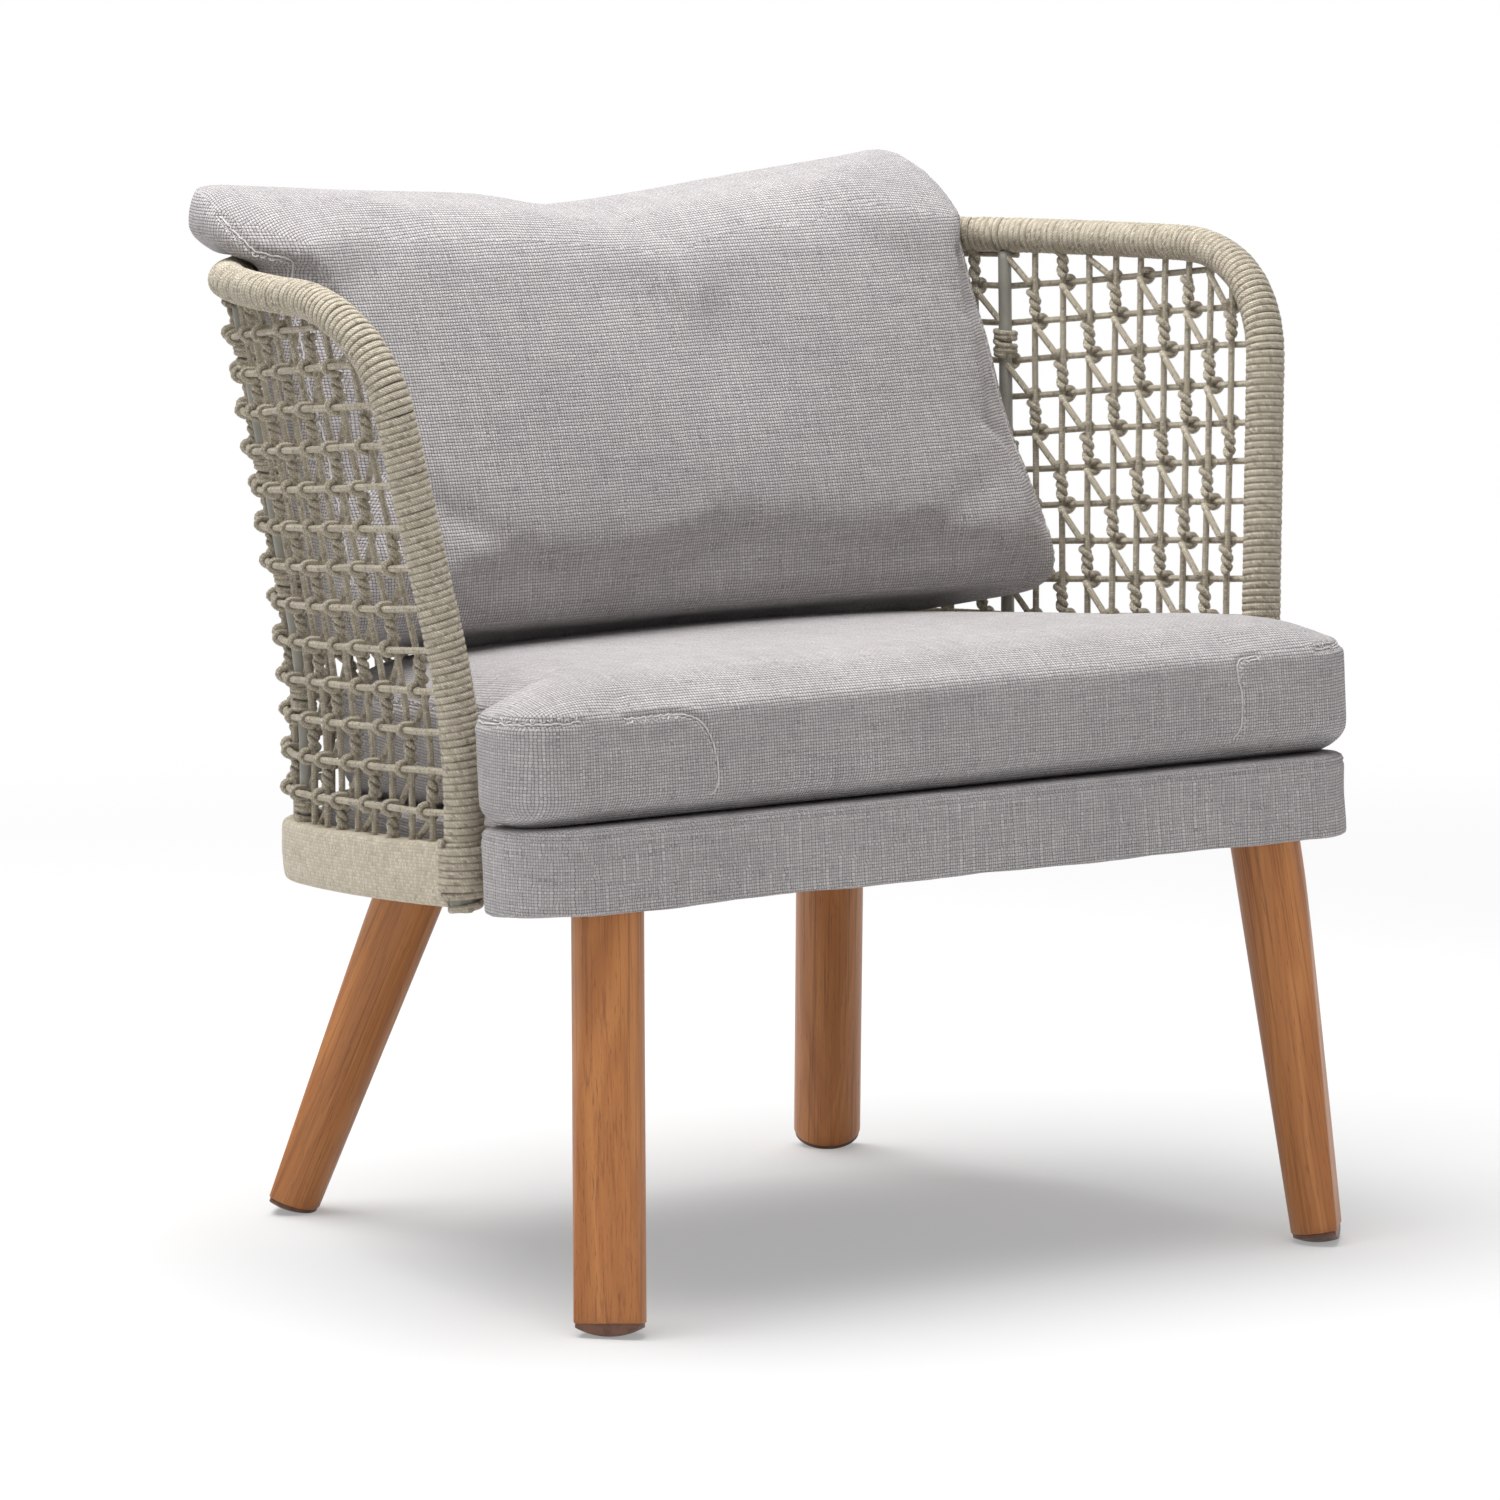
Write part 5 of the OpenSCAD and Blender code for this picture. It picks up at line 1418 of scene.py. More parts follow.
@dataclass
class Legs:
    """Four turned legs with a long flat on each, and the domed glides under them."""

    finishes: Finishes
    shell: Shell = SHELL
    leg_r: float = 0.025
    flat_depth: float = 16.5 * MM
    flat_turn: float = 48.0
    eased: float = 1.3 * MM
    chamfer: float = 1.4 * MM
    glide_r: float = 0.024
    dome_r: float = 0.048
    dome_flat: float = 0.4 * MM
    glide_edge: float = 2.5 * MM
    around: int = 72

    @property
    def cap(self) -> float:
        """Height of the dome's rim below its centre."""
        return math.sqrt(self.dome_r ** 2 - self.glide_r ** 2)

    @property
    def wood_end(self) -> float:
        """Distance of the wood's foot below the dome's centre."""
        return self.cap - self.glide_edge

    def places(self) -> tuple[LegPlace, ...]:
        """Return the four places."""
        rear_y = self.shell.foot.rear_y - 0.0485
        ends = (("front", 0.2825, -0.2351, 0.027, -0.0425), ("rear", 0.1795, rear_y, 0.0635, 0.0945))
        return tuple(LegPlace(f"{end}_{side.name.lower()}", side.value * x, y, side.value * lean_x, lean_y)
                     for end, x, y, lean_x, lean_y in ends for side in Side)

    def frame_of(self, place: LegPlace) -> tuple[Matrix, float]:
        """Return the leg's frame, with Z up its axis and X to the flat, and its length above the dome.

        Args:
            place: where the leg stands.

        Returns:
            The frame and the length.
        """
        top = Vector(self.shell.on_base(np.array([place.x, place.y, 0.0])))
        drop = Vector((place.lean_x, place.lean_y, -top.z))
        dome = top + drop * (1 - (self.dome_r - self.dome_flat) / top.z)
        way = -drop
        turn, lean = math.atan2(way.y, way.x), math.acos(way.z / way.length)
        side = math.copysign(self.flat_turn, place.x)
        flat = math.radians(side - 90 if place.y < 0 else 90 - side) - turn
        matrix = (Matrix.Translation(dome) @ Matrix.Rotation(turn, 4, "Z") @ Matrix.Rotation(lean, 4, "Y")
                  @ Matrix.Rotation(flat, 4, "Z"))
        return matrix, (top - dome).length

    def section(self, radius: float, limit: float) -> np.ndarray:
        """Return a circle cut by the flat at x = limit, with eased edges."""
        angle = 2 * math.pi * np.arange(self.around) / self.around
        x, y = radius * np.cos(angle), radius * np.sin(angle)
        over = (x - limit) / self.eased
        return np.stack([np.where(over > -1, limit - self.eased + self.eased * np.tanh(over + 1), x), y], 1)

    def build_leg(self, place: LegPlace, matrix: Matrix, long: float) -> None:
        """Make a leg, cut off at the top by the base plane.

        Args:
            place: where it stands.
            matrix: the leg's frame.
            long: its length above the dome.
        """
        inverse = np.array(matrix.inverted())
        tilt = self.shell.base_tilt
        normal = inverse[:3, :3] @ np.array([0, math.sin(tilt), math.cos(tilt)])
        at = inverse[:3, :3] @ np.array([0, self.shell.foot.start_y, self.shell.base_z]) + inverse[:3, 3]
        whole = long + self.wood_end
        steps = [(0.0, self.chamfer), (0.35, 0.45 * self.chamfer), (1.4, 0.0)]
        steps += [(s, 0.0) for s in np.linspace(6, whole / MM, 50)]
        rings = []
        for step, shy in steps:
            share = step * MM / whole
            radius = self.leg_r - shy
            ring = self.section(radius, radius - self.flat_depth * (1 - share) + 1.2 * self.eased)
            top = (normal @ at - ring @ normal[:2]) / normal[2]
            rings.append(np.column_stack([ring, -self.wood_end + share * (top + self.wood_end)]))
        girth = 2 * math.pi * self.leg_r * np.arange(self.around + 1) / self.around
        bin_ = MeshBin()
        bin_.add_rings(np.array(rings), girth, np.array([s for s, _ in steps]) * MM)
        leg = bin_.build(f"{place.name}_wood_leg")
        leg.data.set_sharp_from_angle(angle=math.radians(50))
        leg.matrix_world = matrix
        self.finishes.dress(leg, "leg_wood", f"{place.name}_leg")

    def build_glide(self, place: LegPlace, matrix: Matrix, long: float) -> None:
        """Make a glide, flattened where it stands on the floor.

        Args:
            place: where it stands.
            matrix: the leg's frame.
            long: length of the leg above the dome.
        """
        slope = self.flat_depth / (long + self.wood_end)
        inset = self.leg_r - self.glide_r
        heights = [(self.glide_r - 0.3 * MM, -self.wood_end), (self.glide_r, -self.wood_end - 0.3 * MM)]
        heights += [(self.dome_r * math.sin(t), -self.dome_r * math.cos(t))
                    for t in np.linspace(math.asin(self.glide_r / self.dome_r), 0.02, 12)]
        rings = []
        for radius, z in heights:
            limit = self.leg_r - self.flat_depth - inset + (z + self.wood_end) * slope
            ring = self.section(radius, min(limit, radius) + 1.2 * self.eased * (radius > limit))
            rings.append(np.column_stack([ring, np.full(self.around, z)]))
        rings = np.array(rings) @ np.array(matrix.to_3x3()).T + np.array(matrix.translation)
        rings[..., 2] = np.maximum(rings[..., 2], 0.0)
        bin_ = MeshBin()
        bin_.add_rings(rings[::-1], np.arange(self.around + 1) * 2 * MM, np.arange(len(rings)) * 2 * MM)
        glide = bin_.build(f"{place.name}_domed_glide")
        glide.data.set_sharp_from_angle(angle=math.radians(50))
        self.finishes.dress(glide, "glide_plastic", f"{place.name}_glide")

    def build(self) -> None:
        """Make the four legs and their glides."""
        for place in self.places():
            matrix, long = self.frame_of(place)
            self.build_leg(place, matrix, long)
            self.build_glide(place, matrix, long)


# --- cushions ---
CLOTH_PRESSURE = 4.0
CLOTH_FRAMES = 20
# height of the seat cushion's crown on the base plane
SEAT_TOP = 156.3 * MM
# folds of the back pillow: x, z and slope of the middle, half length, half width, depth in millimetres
FOLDS = ((-0.225, 0.53, -0.55, 0.085, 0.013, 4.0),
         (-0.255, 0.49, -0.45, 0.06, 0.011, -3.0),
         (-0.02, 0.475, 0.30, 0.07, 0.012, 3.2),
         (-0.05, 0.505, 0.22, 0.06, 0.012, -2.4),
         (0.205, 0.50, 0.5, 0.07, 0.014, 2.6),
         (0.23, 0.465, 0.4, 0.05, 0.011, -2.2),
         (0.19, 0.70, -0.6, 0.06, 0.018, 3.0),
         (-0.24, 0.70, 0.75, 0.07, 0.018, 3.4))


def inflated(obj: bpy.types.Object, voxel: float, cap: float) -> np.ndarray:
    """Remesh a cushion evenly, blow it up as cloth and add one subdivision.

    Args:
        obj: the closed, slightly small shape.
        voxel: size of the even mesh.
        cap: how far a point may move.

    Returns:
        The finished vertices.
    """
    scene = bpy.context.scene
    remesh = obj.modifiers.new("even", "REMESH")
    remesh.mode, remesh.voxel_size, remesh.use_smooth_shade = "VOXEL", voxel, True
    apply_modifiers(obj)
    rest = coordinates(obj)
    cloth = obj.modifiers.new("cloth", "CLOTH")
    rules = cloth.settings
    rules.quality = 5
    rules.mass = 0.3
    rules.tension_stiffness = rules.compression_stiffness = 14
    rules.shear_stiffness = 5
    rules.bending_stiffness = 0.6
    rules.use_pressure = True
    rules.uniform_pressure_force = CLOTH_PRESSURE
    rules.effector_weights.gravity = 0
    cloth.point_cache.frame_start, cloth.point_cache.frame_end = 1, CLOTH_FRAMES
    for number in range(1, CLOTH_FRAMES + 1):
        scene.frame_set(number)
    swollen = coordinates(obj.evaluated_get(bpy.context.evaluated_depsgraph_get()))
    obj.modifiers.remove(cloth)
    scene.frame_set(1)
    move = swollen - rest
    size = np.linalg.norm(move, axis=1, keepdims=True)
    set_coordinates(obj, rest + move * np.minimum(1, cap / np.maximum(size, 1e-9)))
    finer = obj.modifiers.new("finer", "SUBSURF")
    finer.levels = 1
    apply_modifiers(obj)
    return coordinates(obj)


def apply_modifiers(obj: bpy.types.Object) -> None:
    """Replace a piece's mesh by what its modifiers make of it."""
    graph = bpy.context.evaluated_depsgraph_get()
    mesh = bpy.data.meshes.new_from_object(obj.evaluated_get(graph))
    old, obj.data = obj.data, mesh
    mesh.name = obj.name
    obj.modifiers.clear()
    bpy.data.meshes.remove(old)
    mesh.shade_smooth()


def set_coordinates(obj: bpy.types.Object, points: np.ndarray) -> None:
    """Move the vertices of a piece."""
    obj.data.vertices.foreach_set("co", points.ravel())
    obj.data.update()


@dataclass
class Seams:
    """Sewn seams on one cushion: a groove in the cloth and a row of stitches beside it."""

    finishes: Finishes
    groove: float = 1.7 * MM
    half_w: float = 5.5 * MM
    swell: float = 0.7 * MM
    stitch_off: float = 3.4 * MM
    stitch_len: float = 4.2 * MM
    stitch_gap: float = 2.4 * MM
    thread_r: float = 0.42 * MM
    fold_r: float = 0.75 * MM

    def sew(self, obj: bpy.types.Object, lines: list[np.ndarray], stitched: list[int], body: Body) -> None:
        """Press seams into a cushion and stitch them.

        Args:
            obj: the cushion.
            lines: paths that run near the surface.
            stitched: for each path the side that carries a row of stitches, 1 or -1.
            body: body of the cushion.
        """
        surface = BVHTree.FromObject(obj, bpy.context.evaluated_depsgraph_get())
        laid = []
        for line in lines:
            dense = resampled(line, 1.5 * MM)
            laid.append(np.array([surface.find_nearest(Vector(p))[0] for p in dense]))
        points = np.concatenate(laid)
        tree = kdtree.KDTree(len(points))
        for i, p in enumerate(points):
            tree.insert(p, i)
        tree.balance()
        co, normals = coordinates(obj), vectors_in(obj.data.vertex_normals, "vector")
        away = np.array([tree.find(p)[2] for p in co])
        press = (-self.groove * np.exp(-(away / (0.36 * self.half_w)) ** 2)
                 + self.swell * np.exp(-((away - self.half_w) / (0.6 * self.half_w)) ** 2))
        set_coordinates(obj, co + normals * press[:, None])
        surface = BVHTree.FromObject(obj, bpy.context.evaluated_depsgraph_get())
        bin_ = MeshBin()
        for line, side in zip(laid, stitched):
            self.fold(bin_, surface, line)
            self.stitch(bin_, surface, line, side)
        self.finishes.dress(bin_.build(f"{obj.name}_stitches"), "sewing_thread", body=body)

    def fold(self, bin_: MeshBin, surface: BVHTree, line: np.ndarray) -> None:
        """Lay the turned edge of the cloth along a seam."""
        found = [surface.find_nearest(Vector(p))[:2] for p in resampled(line, 2 * MM)]
        normals = np.array([n for _, n in found])
        path = np.array([p for p, _ in found]) + normals * 0.35 * self.fold_r
        add_cord(bin_, path, self.fold_r, self.fold_r, 6, normals)

    def stitch(self, bin_: MeshBin, surface: BVHTree, line: np.ndarray, side: int) -> None:
        """Add one row of stitches beside a seam.

        Args:
            bin_: mesh that takes the stitches.
            surface: surface of the cushion.
            line: the seam.
            side: 1 or -1, the side of the seam that they lie on.
        """
        even = resampled(line, self.stitch_len / 4)
        way = unit(np.gradient(even, axis=0))
        for k in range(2, len(even) - 5, 4 + int(round(4 * self.stitch_gap / self.stitch_len))):
            dash = []
            for j in range(5):
                place, normal = surface.find_nearest(Vector(even[k + j]))[:2]
                beside = np.array(place) + side * self.stitch_off * np.cross(way[k + j], np.array(normal))
                place, normal = surface.find_nearest(Vector(beside))[:2]
                rise = (0.15, 0.8, 1.0, 0.8, 0.15)[j] * self.thread_r * 1.5 - 0.5 * self.thread_r
                dash.append(np.array(place) + np.array(normal) * rise)
            add_cord(bin_, np.array(dash), self.thread_r, self.thread_r, 5)


@dataclass
class SeatCushion:
    """Loose seat cushion: two lobes in front of the uprights, a crown, and shaped front corner panels."""

    finishes: Finishes
    shell: Shell = SHELL
    low: float = 58.3 * MM
    height: float = 98.0 * MM
    half_w: float = 0.370
    front: float = -0.2761
    corner_r: float = 0.054
    lobe_r: float = 0.036
    inset: float = 0.024
    small: float = 5.0 * MM
    voxel: float = 5.0 * MM
    cap: float = 8.0 * MM
    lift_left: float = 5.0 * MM
    lift_right: float = 11.5 * MM

    @property
    def mid_y(self) -> float:
        """Depth of the cushion's middle."""
        return (self.front + self.shell.foot.rear_y) / 2

    def outline(self, grow: float, count: int = 600) -> np.ndarray:
        """Return the level outline grown by a distance."""
        return t_outline(self.half_w, self.front, self.corner_r, self.lobe_r, self.inset, grow, count)

    def rough(self) -> bpy.types.Object:
        """Return the plain shape that is blown up."""
        side_h, r = self.height - 15 * MM, 15 * MM
        turn = np.radians(np.linspace(0, 90, 6))
        profile = [(-60 * MM, 0.0, 1.0), (-30 * MM, 0.0, 1.0)]
        profile += [(-r * (1 - math.sin(t)), r * (1 - math.cos(t)), 1.0) for t in turn]
        profile += [(0.0, v, 1.0) for v in np.linspace(r, side_h - r, 7)[1:-1]]
        profile += [(-r * (1 - math.cos(t)), side_h - r + r * math.sin(t), 1.0) for t in turn]
        profile += [(-r, side_h + (self.height - side_h) * (1 - q ** 7), q)
                    for q in (0.985, 0.96, 0.92, 0.86, 0.78, 0.66, 0.5, 0.3, 0.1)]
        rings = []
        for grow, h, scale in [(-60 * MM, 0.0, 0.1)] + profile:
            line = self.outline(grow - self.small, 400)
            edge = np.column_stack([line[:, 0] * scale, self.mid_y + (line[:, 1] - self.mid_y) * scale])
            level = self.low + 2 * MM + h * (1 - 4 * MM / self.height)
            rings.append(np.column_stack([edge, np.full(len(edge), level)]))
        bin_ = MeshBin()
        bin_.add_rings(self.shell.on_base(np.array(rings)), np.zeros(401), np.zeros(len(rings)))
        return face_outwards(bin_.build("seat_pad"))

    def levels(self, points: np.ndarray) -> np.ndarray:
        """Return points of the room as x, y and height on the base plane."""
        y, z = points[:, 1] - self.shell.foot.start_y, points[:, 2] - self.shell.base_z
        c, s = math.cos(self.shell.base_tilt), math.sin(self.shell.base_tilt)
        return np.column_stack([points[:, 0], self.shell.foot.start_y + y * c - z * s, y * s + z * c])

    def settle(self, points: np.ndarray) -> np.ndarray:
        """Return the cushion's points as it has settled: lifted front edge, flat underside, hollows."""
        p = self.levels(points)
        x, y, h = p.T
        h = h - self.low
        frontness = smooth(-y, -self.front - 0.055, -self.front + 0.004)
        lift = (self.lift_left + (self.lift_right - self.lift_left) * (x + 0.3) / 0.6) * frontness
        lift *= 1 - smooth(h, 0.0, 0.05)
        h = np.maximum(h, 0.0) + np.clip(lift, 0, None)
        h += 1.6 * MM * np.sin(x / 0.083 + 1.3) * np.sin(y / 0.071 + 0.4) * smooth(h, 0.07, 0.1)
        waves = 1.3 * MM * np.sin(x / 0.026 + 3 * np.sin(x / 0.11)) * frontness
        waves *= np.exp(-((h - 0.02) / 0.02) ** 2)
        return self.shell.on_base(np.column_stack([x, y - waves, h + self.low]))

    def seam_lines(self) -> tuple[list[np.ndarray], list[int]]:
        """Return the paths of the seams and their stitches."""
        left = [(-280, 77), (-238, 77), (-222, 70), (-211, 56), (-206.5, 40), (-206, 25), (-209, 8),
                (-212, 2)]
        right = [(261, 87), (251, 85), (245.5, 78), (243, 68), (244.5, 54), (246, 43), (245, 28),
                 (241, 10), (240, 4)]
        lines = []
        for face in (left, right):
            flat = curve_through(np.array([(x * MM, self.front, self.low + h * MM) for x, h in face]), 6)
            lines.append(self.shell.on_base(flat))
        ring = self.outline(0.0)
        for side, start, h in ((Side.LEFT, 280 * MM, 77 * MM), (Side.RIGHT, 261 * MM, 87 * MM)):
            half = ring[:len(ring) // 2]
            run = half[(half[:, 0] > start) | (half[:, 1] > self.front + 0.02)]
            lines.append(self.shell.on_base(np.column_stack([side.value * run[:, 0], run[:, 1],
                                                             np.full(len(run), self.low + h)])))
        return lines, [1, -1, 1, -1]

    def build(self) -> None:
        """Make the seat cushion."""
        obj = self.rough()
        points = inflated(obj, self.voxel, self.cap)
        set_coordinates(obj, self.settle(points))
        lines, stitched = self.seam_lines()
        Seams(self.finishes).sew(obj, lines, stitched, Body.SEAT)
        lay_cloth(obj)
        self.finishes.dress(obj, "cushion_fabric", "seat_cushion", Body.SEAT)


@dataclass
class BackPillow:
    """Loose back pillow that leans on the mesh, with a hollow in its upper edge and soft folds below."""

    finishes: Finishes
    shell: Shell = SHELL
    low: float = 0.4276
    top: float = 0.756
    front_y: float = 0.030
    lean: float = math.radians(23.5)
    top_y: float = 0.236
    round_low: float = 0.040
    round_top: float = 0.060
    clear: float = 0.009
    slack: float = 0.014
    front_r: float = 0.032
    bulge: float = 0.024
    small: float = 6.0 * MM
    voxel: float = 6.0 * MM
    cap: float = 12.0 * MM
    hollow_x: float = -0.024

    def inside(self, y: float, z: float) -> float:
        """Return the half width that is free inside the mesh at a depth and a height."""
        foot, rail = self.shell.foot, self.shell.rail
        f = min(self.shell.flare_at(rail.half_len, z), 1.0)

        def blend(a: float, b: float) -> float:
            """Return a value of this height, between the foot's and the rail's."""
            return a + (b - a) * f

        bar_y = blend(foot.side_point(foot.side_len, 0)[1], rail.side_point(rail.side_len, 0)[1])
        if y < bar_y:
            bow_x = blend(foot.half_w - foot.side_r * math.cos(foot.start_turn),
                          rail.half_w - rail.side_r * math.cos(rail.start_turn))
            bow_y = blend(foot.start_y - foot.side_r * math.sin(foot.start_turn),
                          rail.start_y - rail.side_r * math.sin(rail.start_turn))
            r = blend(foot.side_r, rail.side_r) - self.clear
            return bow_x + math.sqrt(max(r * r - (y - bow_y) ** 2, 0))
        cx, cy = blend(foot.corner[0], rail.corner[0]), blend(foot.corner[1], rail.corner[1])
        r = blend(foot.corner_r, rail.corner_r) - self.clear
        return cx + math.sqrt(max(r * r - (y - cy) ** 2, 0))

    def rear_at(self, z: float) -> float:
        """Return the depth of the mesh's rear at a height."""
        foot, rail = self.shell.foot.rear_y, self.shell.rail.rear_y
        return foot + (rail - foot) * min(self.shell.flare_at(self.shell.rail.half_len, z), 1.0)

    def half_width(self, z: float, side: Side) -> float:
        """Return the pillow's own half width at a height."""
        heights = (0.42, 0.45, 0.50, 0.58, 0.66, 0.705, 0.735, 0.76)
        widths = {Side.LEFT: (0.312, 0.322, 0.320, 0.320, 0.332, 0.342, 0.348, 0.346),
                  Side.RIGHT: (0.320, 0.338, 0.330, 0.324, 0.330, 0.330, 0.318, 0.300)}[side]
        return float(np.interp(z, heights, widths))

    def level(self, z: float, side: Side) -> list[tuple[float, float, float]]:
        """Return half of the level outline from the middle of the front round to the middle of the rear.

        Args:
            z: height of the outline.
            side: half of the pillow.

        Returns:
            Points with x positive on both sides.
        """
        top = 1 - math.sqrt(max(1 - (max(z - self.top + self.round_top, 0) / self.round_top) ** 2, 0))
        low = 1 - math.sqrt(max(1 - (max(self.low + self.round_low - z, 0) / self.round_low) ** 2, 0))
        share = min((z - self.low) / (self.top - self.low), 1)
        front = self.front_y + (z - self.low) * math.tan(self.lean) + low * self.round_low
        front += (self.top_y - 5 * MM - front) * top
        rear = self.rear_at(z) - self.clear - self.slack - low * self.round_low
        rear += (self.top_y + 5 * MM - rear) * top
        puff = self.bulge * (1 - top) * math.sin(math.pi * share)
        over = float(np.clip((z - 0.703) / 0.010, 0, 1))
        own = self.half_width(z, side) - 0.012 * low - 0.016 * top
        r = min(0.012 + (self.front_r - 0.012) * float(smooth(z, 0.46, 0.58)), (rear - front) / 3)
        w = min(own, self.inside(front + r, z)) * (1 - over) + own * over
        depth = rear - front - r
        ring = [((w - r) * u, front - puff * (1 - u * u), z) for u in (0, 0.2, 0.4, 0.6, 0.8, 0.93)]
        ring += [(w - r + r * math.sin(t), front + r - r * math.cos(t), z)
                 for t in np.radians([0, 22, 45, 67, 90])]
        for t in np.radians([15, 30, 45, 60, 75, 90]):
            y = front + r + depth * math.sin(t)
            free = w - depth * (1 - math.cos(t)) * 0.5
            ring.append((min(w, min(self.inside(y, z), w) * (1 - over) + free * over), y, z))
        return ring

    def rough(self) -> bpy.types.Object:
        """Return the plain shape that is blown up."""
        turns = np.radians([15, 30, 45, 60, 72, 82, 88])
        heights = np.concatenate([self.low + self.round_low * np.array([0, 0.1, 0.3, 0.6]),
                                  np.linspace(self.low + self.round_low, self.top - self.round_top, 14),
                                  self.top - self.round_top * (1 - np.sin(turns))])
        rings = []
        for z in heights:
            right = self.level(float(z), Side.RIGHT)
            left = [(-x, y, h) for x, y, h in self.level(float(z), Side.LEFT)[1:]]
            rings.append(np.array(right + left[::-1]))
        rings = np.array(rings)
        centre = rings.mean(axis=1, keepdims=True)
        way = unit((rings - centre) * [1, 1, 0])
        rings = rings - way * self.small * np.array([1, 1, 0])
        rings[..., 2] = self.low + 2 * MM + (rings[..., 2] - self.low) * (1 - 5 * MM / (self.top - self.low))
        bin_ = MeshBin()
        bin_.add_rings(rings, np.zeros(rings.shape[1] + 1), np.zeros(len(rings)))
        return face_outwards(bin_.build("back_pillow"))

    def settle(self, points: np.ndarray) -> np.ndarray:
        """Return the pillow's points after it has settled against the mesh."""
        x, y, z = points.T.copy()
        share = np.clip((z - self.low) / (self.top - self.low), 0, 1)
        from_mid = x - self.hollow_x
        reach = np.where(from_mid < 0, 0.279, 0.306)
        sigma = np.where(from_mid < 0, 0.045, 0.150)
        dip = 22 * MM * np.maximum(0, 1 - (np.abs(from_mid) / reach) ** 1.3)
        dip += 11 * MM * np.exp(-(from_mid / sigma) ** 2)
        z = z + 14 * MM * share ** 6 - dip * share ** 5
        front = 1 - smooth(y - (self.front_y + (z - self.low) * math.tan(self.lean)), 0.0, 0.05)
        dx, dz, dent_z = 0.059, 0.041, 0.713
        along = (from_mid * dx + (dent_z - z) * dz) / (dx ** 2 + dz ** 2)
        along = np.clip(along, -0.3, 1.3)
        gap = np.hypot(from_mid - dx * along, z - (dent_z - dz * along))
        y = y - 5 * MM * np.exp(-(gap / 0.025) ** 2) * front * (1 - smooth(along, 0.9, 1.3))
        y = y + 6 * MM * np.exp(-((x - 0.044) ** 2 + (z - 0.625) ** 2) / 0.052 ** 2) * front
        for x0, z0, slope, long, wide, deep in FOLDS:
            c, s = math.cos(math.atan(slope)), math.sin(math.atan(slope))
            u, v = (x - x0) * c + (z - z0) * s, -(x - x0) * s + (z - z0) * c
            y = y + deep * MM * np.exp(-(u / long) ** 2 - (v / wide) ** 2) * front
        rear_y = np.array([self.rear_at(float(h)) for h in z])
        over_rail = self.shell.rail_z - self.shell.rail_fall * y + self.shell.wound_h / 2 + 1.5 * MM
        y = np.where(z < over_rail, np.minimum(y, rear_y - 0.0165), y)
        limit = np.array([self.inside(float(b), float(h)) + 3 * MM for b, h in zip(y, z)])
        out = (np.abs(x) > limit) & (z < over_rail)
        lifted = out & (z > over_rail - 0.016)
        z = np.where(lifted, over_rail, z)
        x = np.where(out & ~lifted, np.clip(x, -limit, limit), x)
        tilt, start_y = self.shell.base_tilt, self.shell.foot.start_y
        seat = self.shell.base_z + (SEAT_TOP - (y - start_y) * math.sin(tilt)) / math.cos(tilt)
        return np.column_stack([x, y, np.maximum(z, seat + 0.6 * MM)])

    def seam_lines(self) -> list[np.ndarray]:
        """Return the seams down both sides, just round the corner of the front."""
        lines = []
        for side in Side:
            line = []
            for z in np.linspace(self.low + 0.02, self.top - 0.012, 40):
                ring = self.level(float(z), side)
                x, y, _ = ring[7]
                line.append((side.value * (x + 6 * MM), y - 8 * MM, z))
            lines.append(np.array(line))
        return lines

    def build(self) -> None:
        """Make the back pillow."""
        obj = self.rough()
        points = inflated(obj, self.voxel, self.cap)
        set_coordinates(obj, self.settle(points))
        Seams(self.finishes).sew(obj, self.seam_lines(), [-1, 1], Body.BACK)
        lay_cloth(obj)
        self.finishes.dress(obj, "cushion_fabric", "back_cushion", Body.BACK)


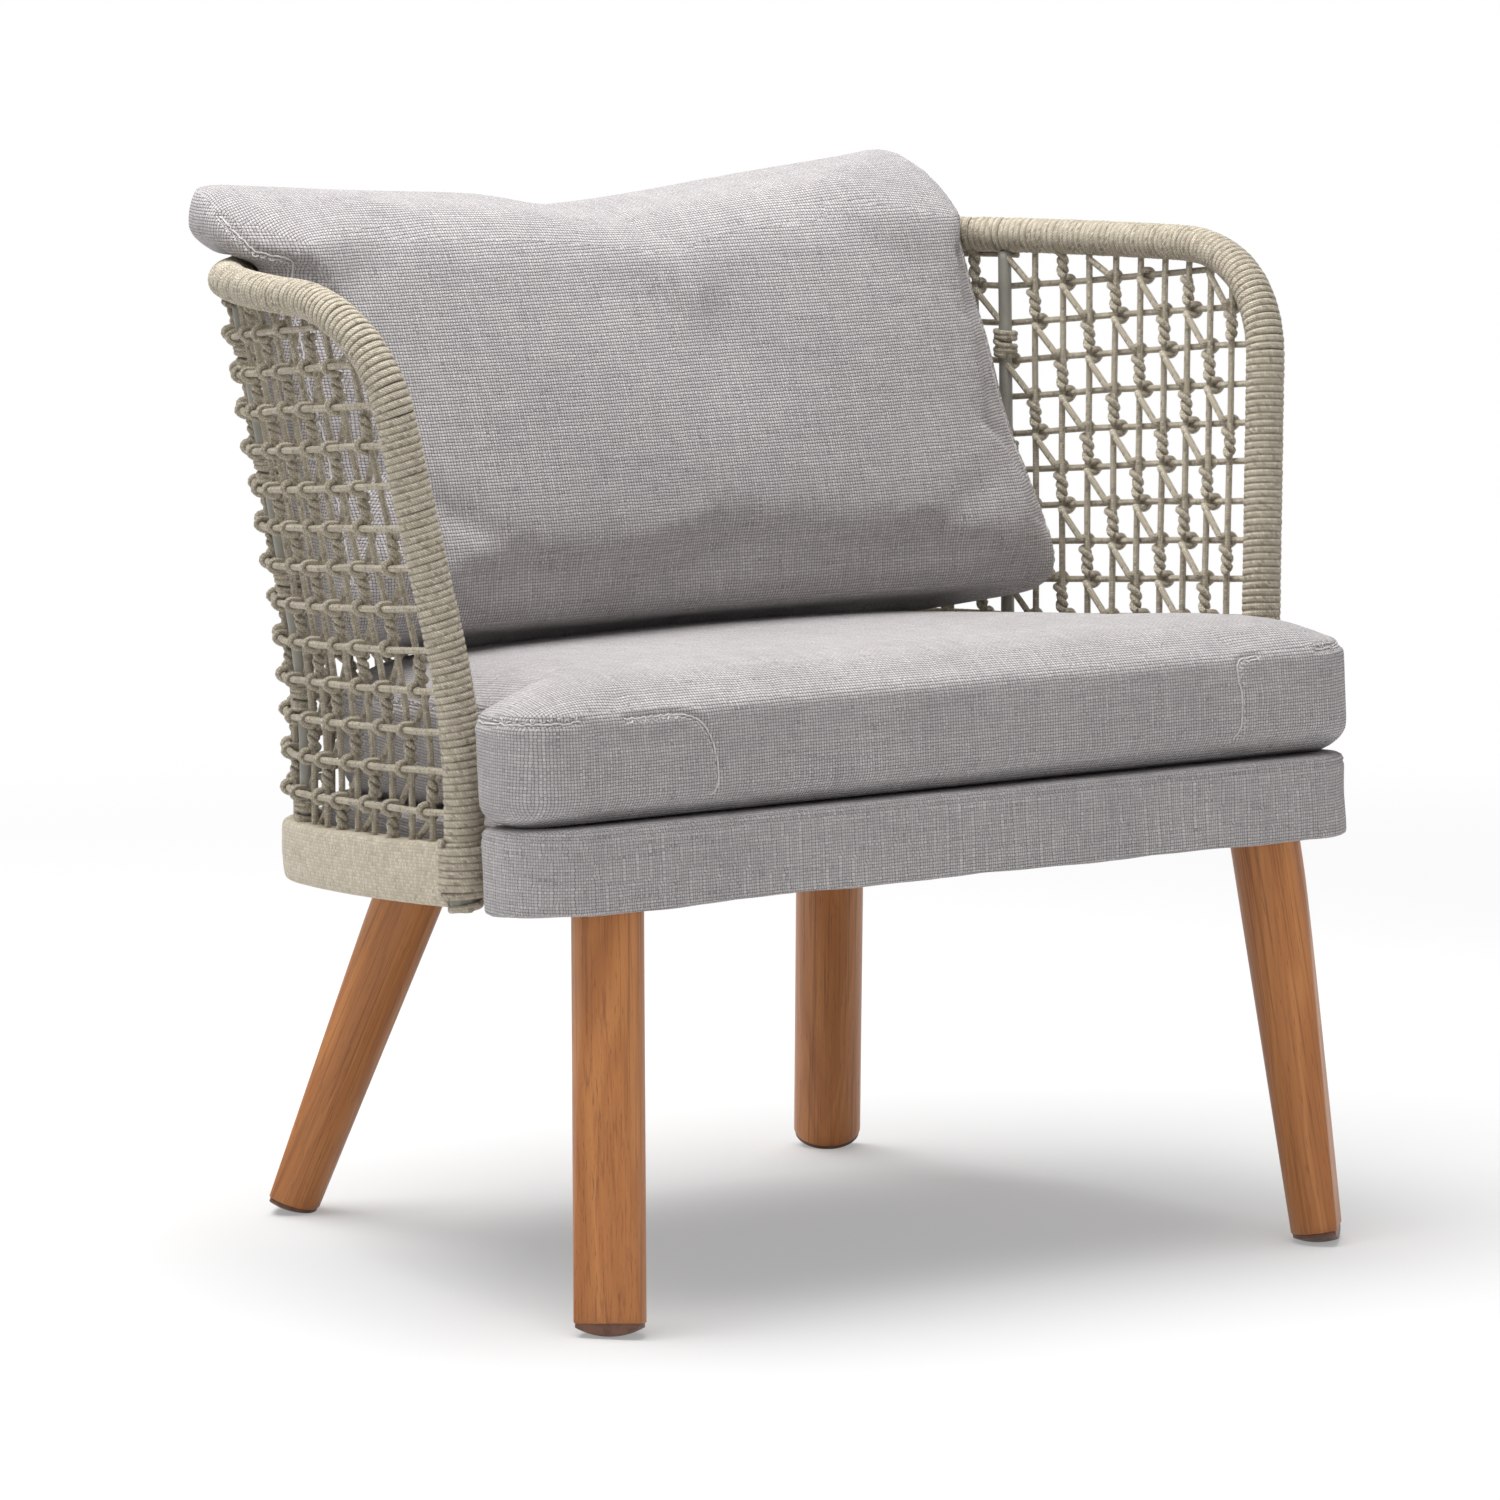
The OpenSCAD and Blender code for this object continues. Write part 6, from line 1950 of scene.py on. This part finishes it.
# --- the stage ---
@dataclass
class Studio:
    """Floor, soft light and camera."""

    eye: tuple[float, float, float] = (-4.0501, -5.8787, 1.3430)
    aim: tuple[float, float, float] = (0.0, 0.0037, 0.3481)
    lens: float = 241.0
    sky: float = 0.37
    lamp_w: float = 155.0
    floor_glow: float = 0.3
    lamp_size: float = 3.0
    lamp_at: tuple[float, float, float] = (-0.45, 0.45, 3.2)
    floor_half: float = 14.0
    lit_r: float = 1.15
    white_r: float = 2.6

    def seen(self, g: Graph) -> bpy.types.NodeSocket:
        """Return 1 for a ray that shows the background itself."""
        path = g.node("ShaderNodeLightPath")
        glossy = g.math("MAXIMUM", path.outputs["Is Glossy Ray"], path.outputs["Is Transmission Ray"])
        return g.math("MAXIMUM", path.outputs["Is Camera Ray"], glossy)

    def build_world(self) -> None:
        """Make a white surround that lights softly."""
        world = bpy.data.worlds.new("studio")
        bpy.context.scene.world = world
        world.use_nodes = True
        g = Graph(world.node_tree)
        strength = g.math("ADD", g.math("MULTIPLY", self.seen(g), 1 - self.sky), self.sky)
        back = g.node("ShaderNodeBackground", {"Color": rgb(1, 1, 1), "Strength": strength})
        g.tree.links.new(back.outputs[0], g.node("ShaderNodeOutputWorld").inputs[0])

    def build_floor(self) -> None:
        """Make a pale floor that takes the chair's shadow and turns white further out."""
        h = self.floor_half
        mesh = bpy.data.meshes.new("studio_floor")
        mesh.from_pydata([(-h, -h, 0), (h, -h, 0), (h, h, 0), (-h, h, 0)], [], [(0, 1, 2, 3)])
        floor = link("studio_floor", mesh)
        material, g = start_material("floor")
        x, y, _ = g.split(space_of(g))
        away = g.math("SQRT", g.math("ADD", g.math("MULTIPLY", x, x), g.math("MULTIPLY", y, y)))
        far = g.math("MULTIPLY", g.range(away, self.lit_r, self.white_r, self.floor_glow), self.seen(g))
        tone = g.mix(g.noise(space_of(g), 3.0), rgb(0.79, 0.79, 0.79), rgb(0.81, 0.81, 0.81))
        matt = g.node("ShaderNodeBsdfDiffuse", {"Color": tone})
        white = g.node("ShaderNodeEmission", {"Color": rgb(1, 1, 1), "Strength": 1.0})
        both = g.node("ShaderNodeMixShader", {0: far})
        g.tree.links.new(matt.outputs[0], both.inputs[1])
        g.tree.links.new(white.outputs[0], both.inputs[2])
        g.tree.links.new(both.outputs[0], g.node("ShaderNodeOutputMaterial").inputs[0])
        mesh.materials.append(material)

    def aimed(self, name: str, data: bpy.types.ID, at: tuple[float, float, float]) -> bpy.types.Object:
        """Return a new object at a place, turned to the chair."""
        obj = link(name, data)
        obj.location = at
        obj.rotation_euler = (Vector(at) - Vector(self.aim)).to_track_quat("Z", "Y").to_euler()
        return obj

    def build_lamp(self) -> None:
        """Hang one wide soft lamp above the chair."""
        data = bpy.data.lights.new("overhead", "AREA")
        data.energy, data.size = self.lamp_w, self.lamp_size
        self.aimed("overhead", data, self.lamp_at)

    def build_camera(self) -> None:
        """Set up the camera."""
        data = bpy.data.cameras.new("camera")
        data.lens, data.sensor_width, data.clip_end = self.lens, 36.0, 100.0
        bpy.context.scene.camera = self.aimed("camera", data, self.eye)

    def build(self) -> None:
        """Make the stage."""
        bpy.context.scene.view_settings.view_transform = "Standard"
        self.build_camera()
        self.build_world()
        self.build_floor()
        self.build_lamp()


HIDDEN_NODES = ("rail_tube", "base_ring", "ring_spacers", "left_outrigger", "right_outrigger",
                *(f"{side}_box_rail" for side in ("front", "rear", "left", "right")),
                *(f"{end}_{side}_leg_plate" for end in ("front", "rear") for side in ("left", "right")),
                "hanger_bolts", "glide_screws", "deck_screws")


def main() -> None:
    """Build the chair and its stage, in order."""
    logging.basicConfig(level=logging.INFO, format="%(name)s: %(message)s")
    Studio().build()
    finishes = Finishes(Effects())
    finishes.build()
    for name in HIDDEN_NODES:
        finishes.dress_node(name)
    Windings(finishes).build()
    RopeMesh(finishes).build()
    Base(finishes).build()
    Legs(finishes).build()
    SeatCushion(finishes).build()
    BackPillow(finishes).build()


if __name__ == "__main__":
    main()
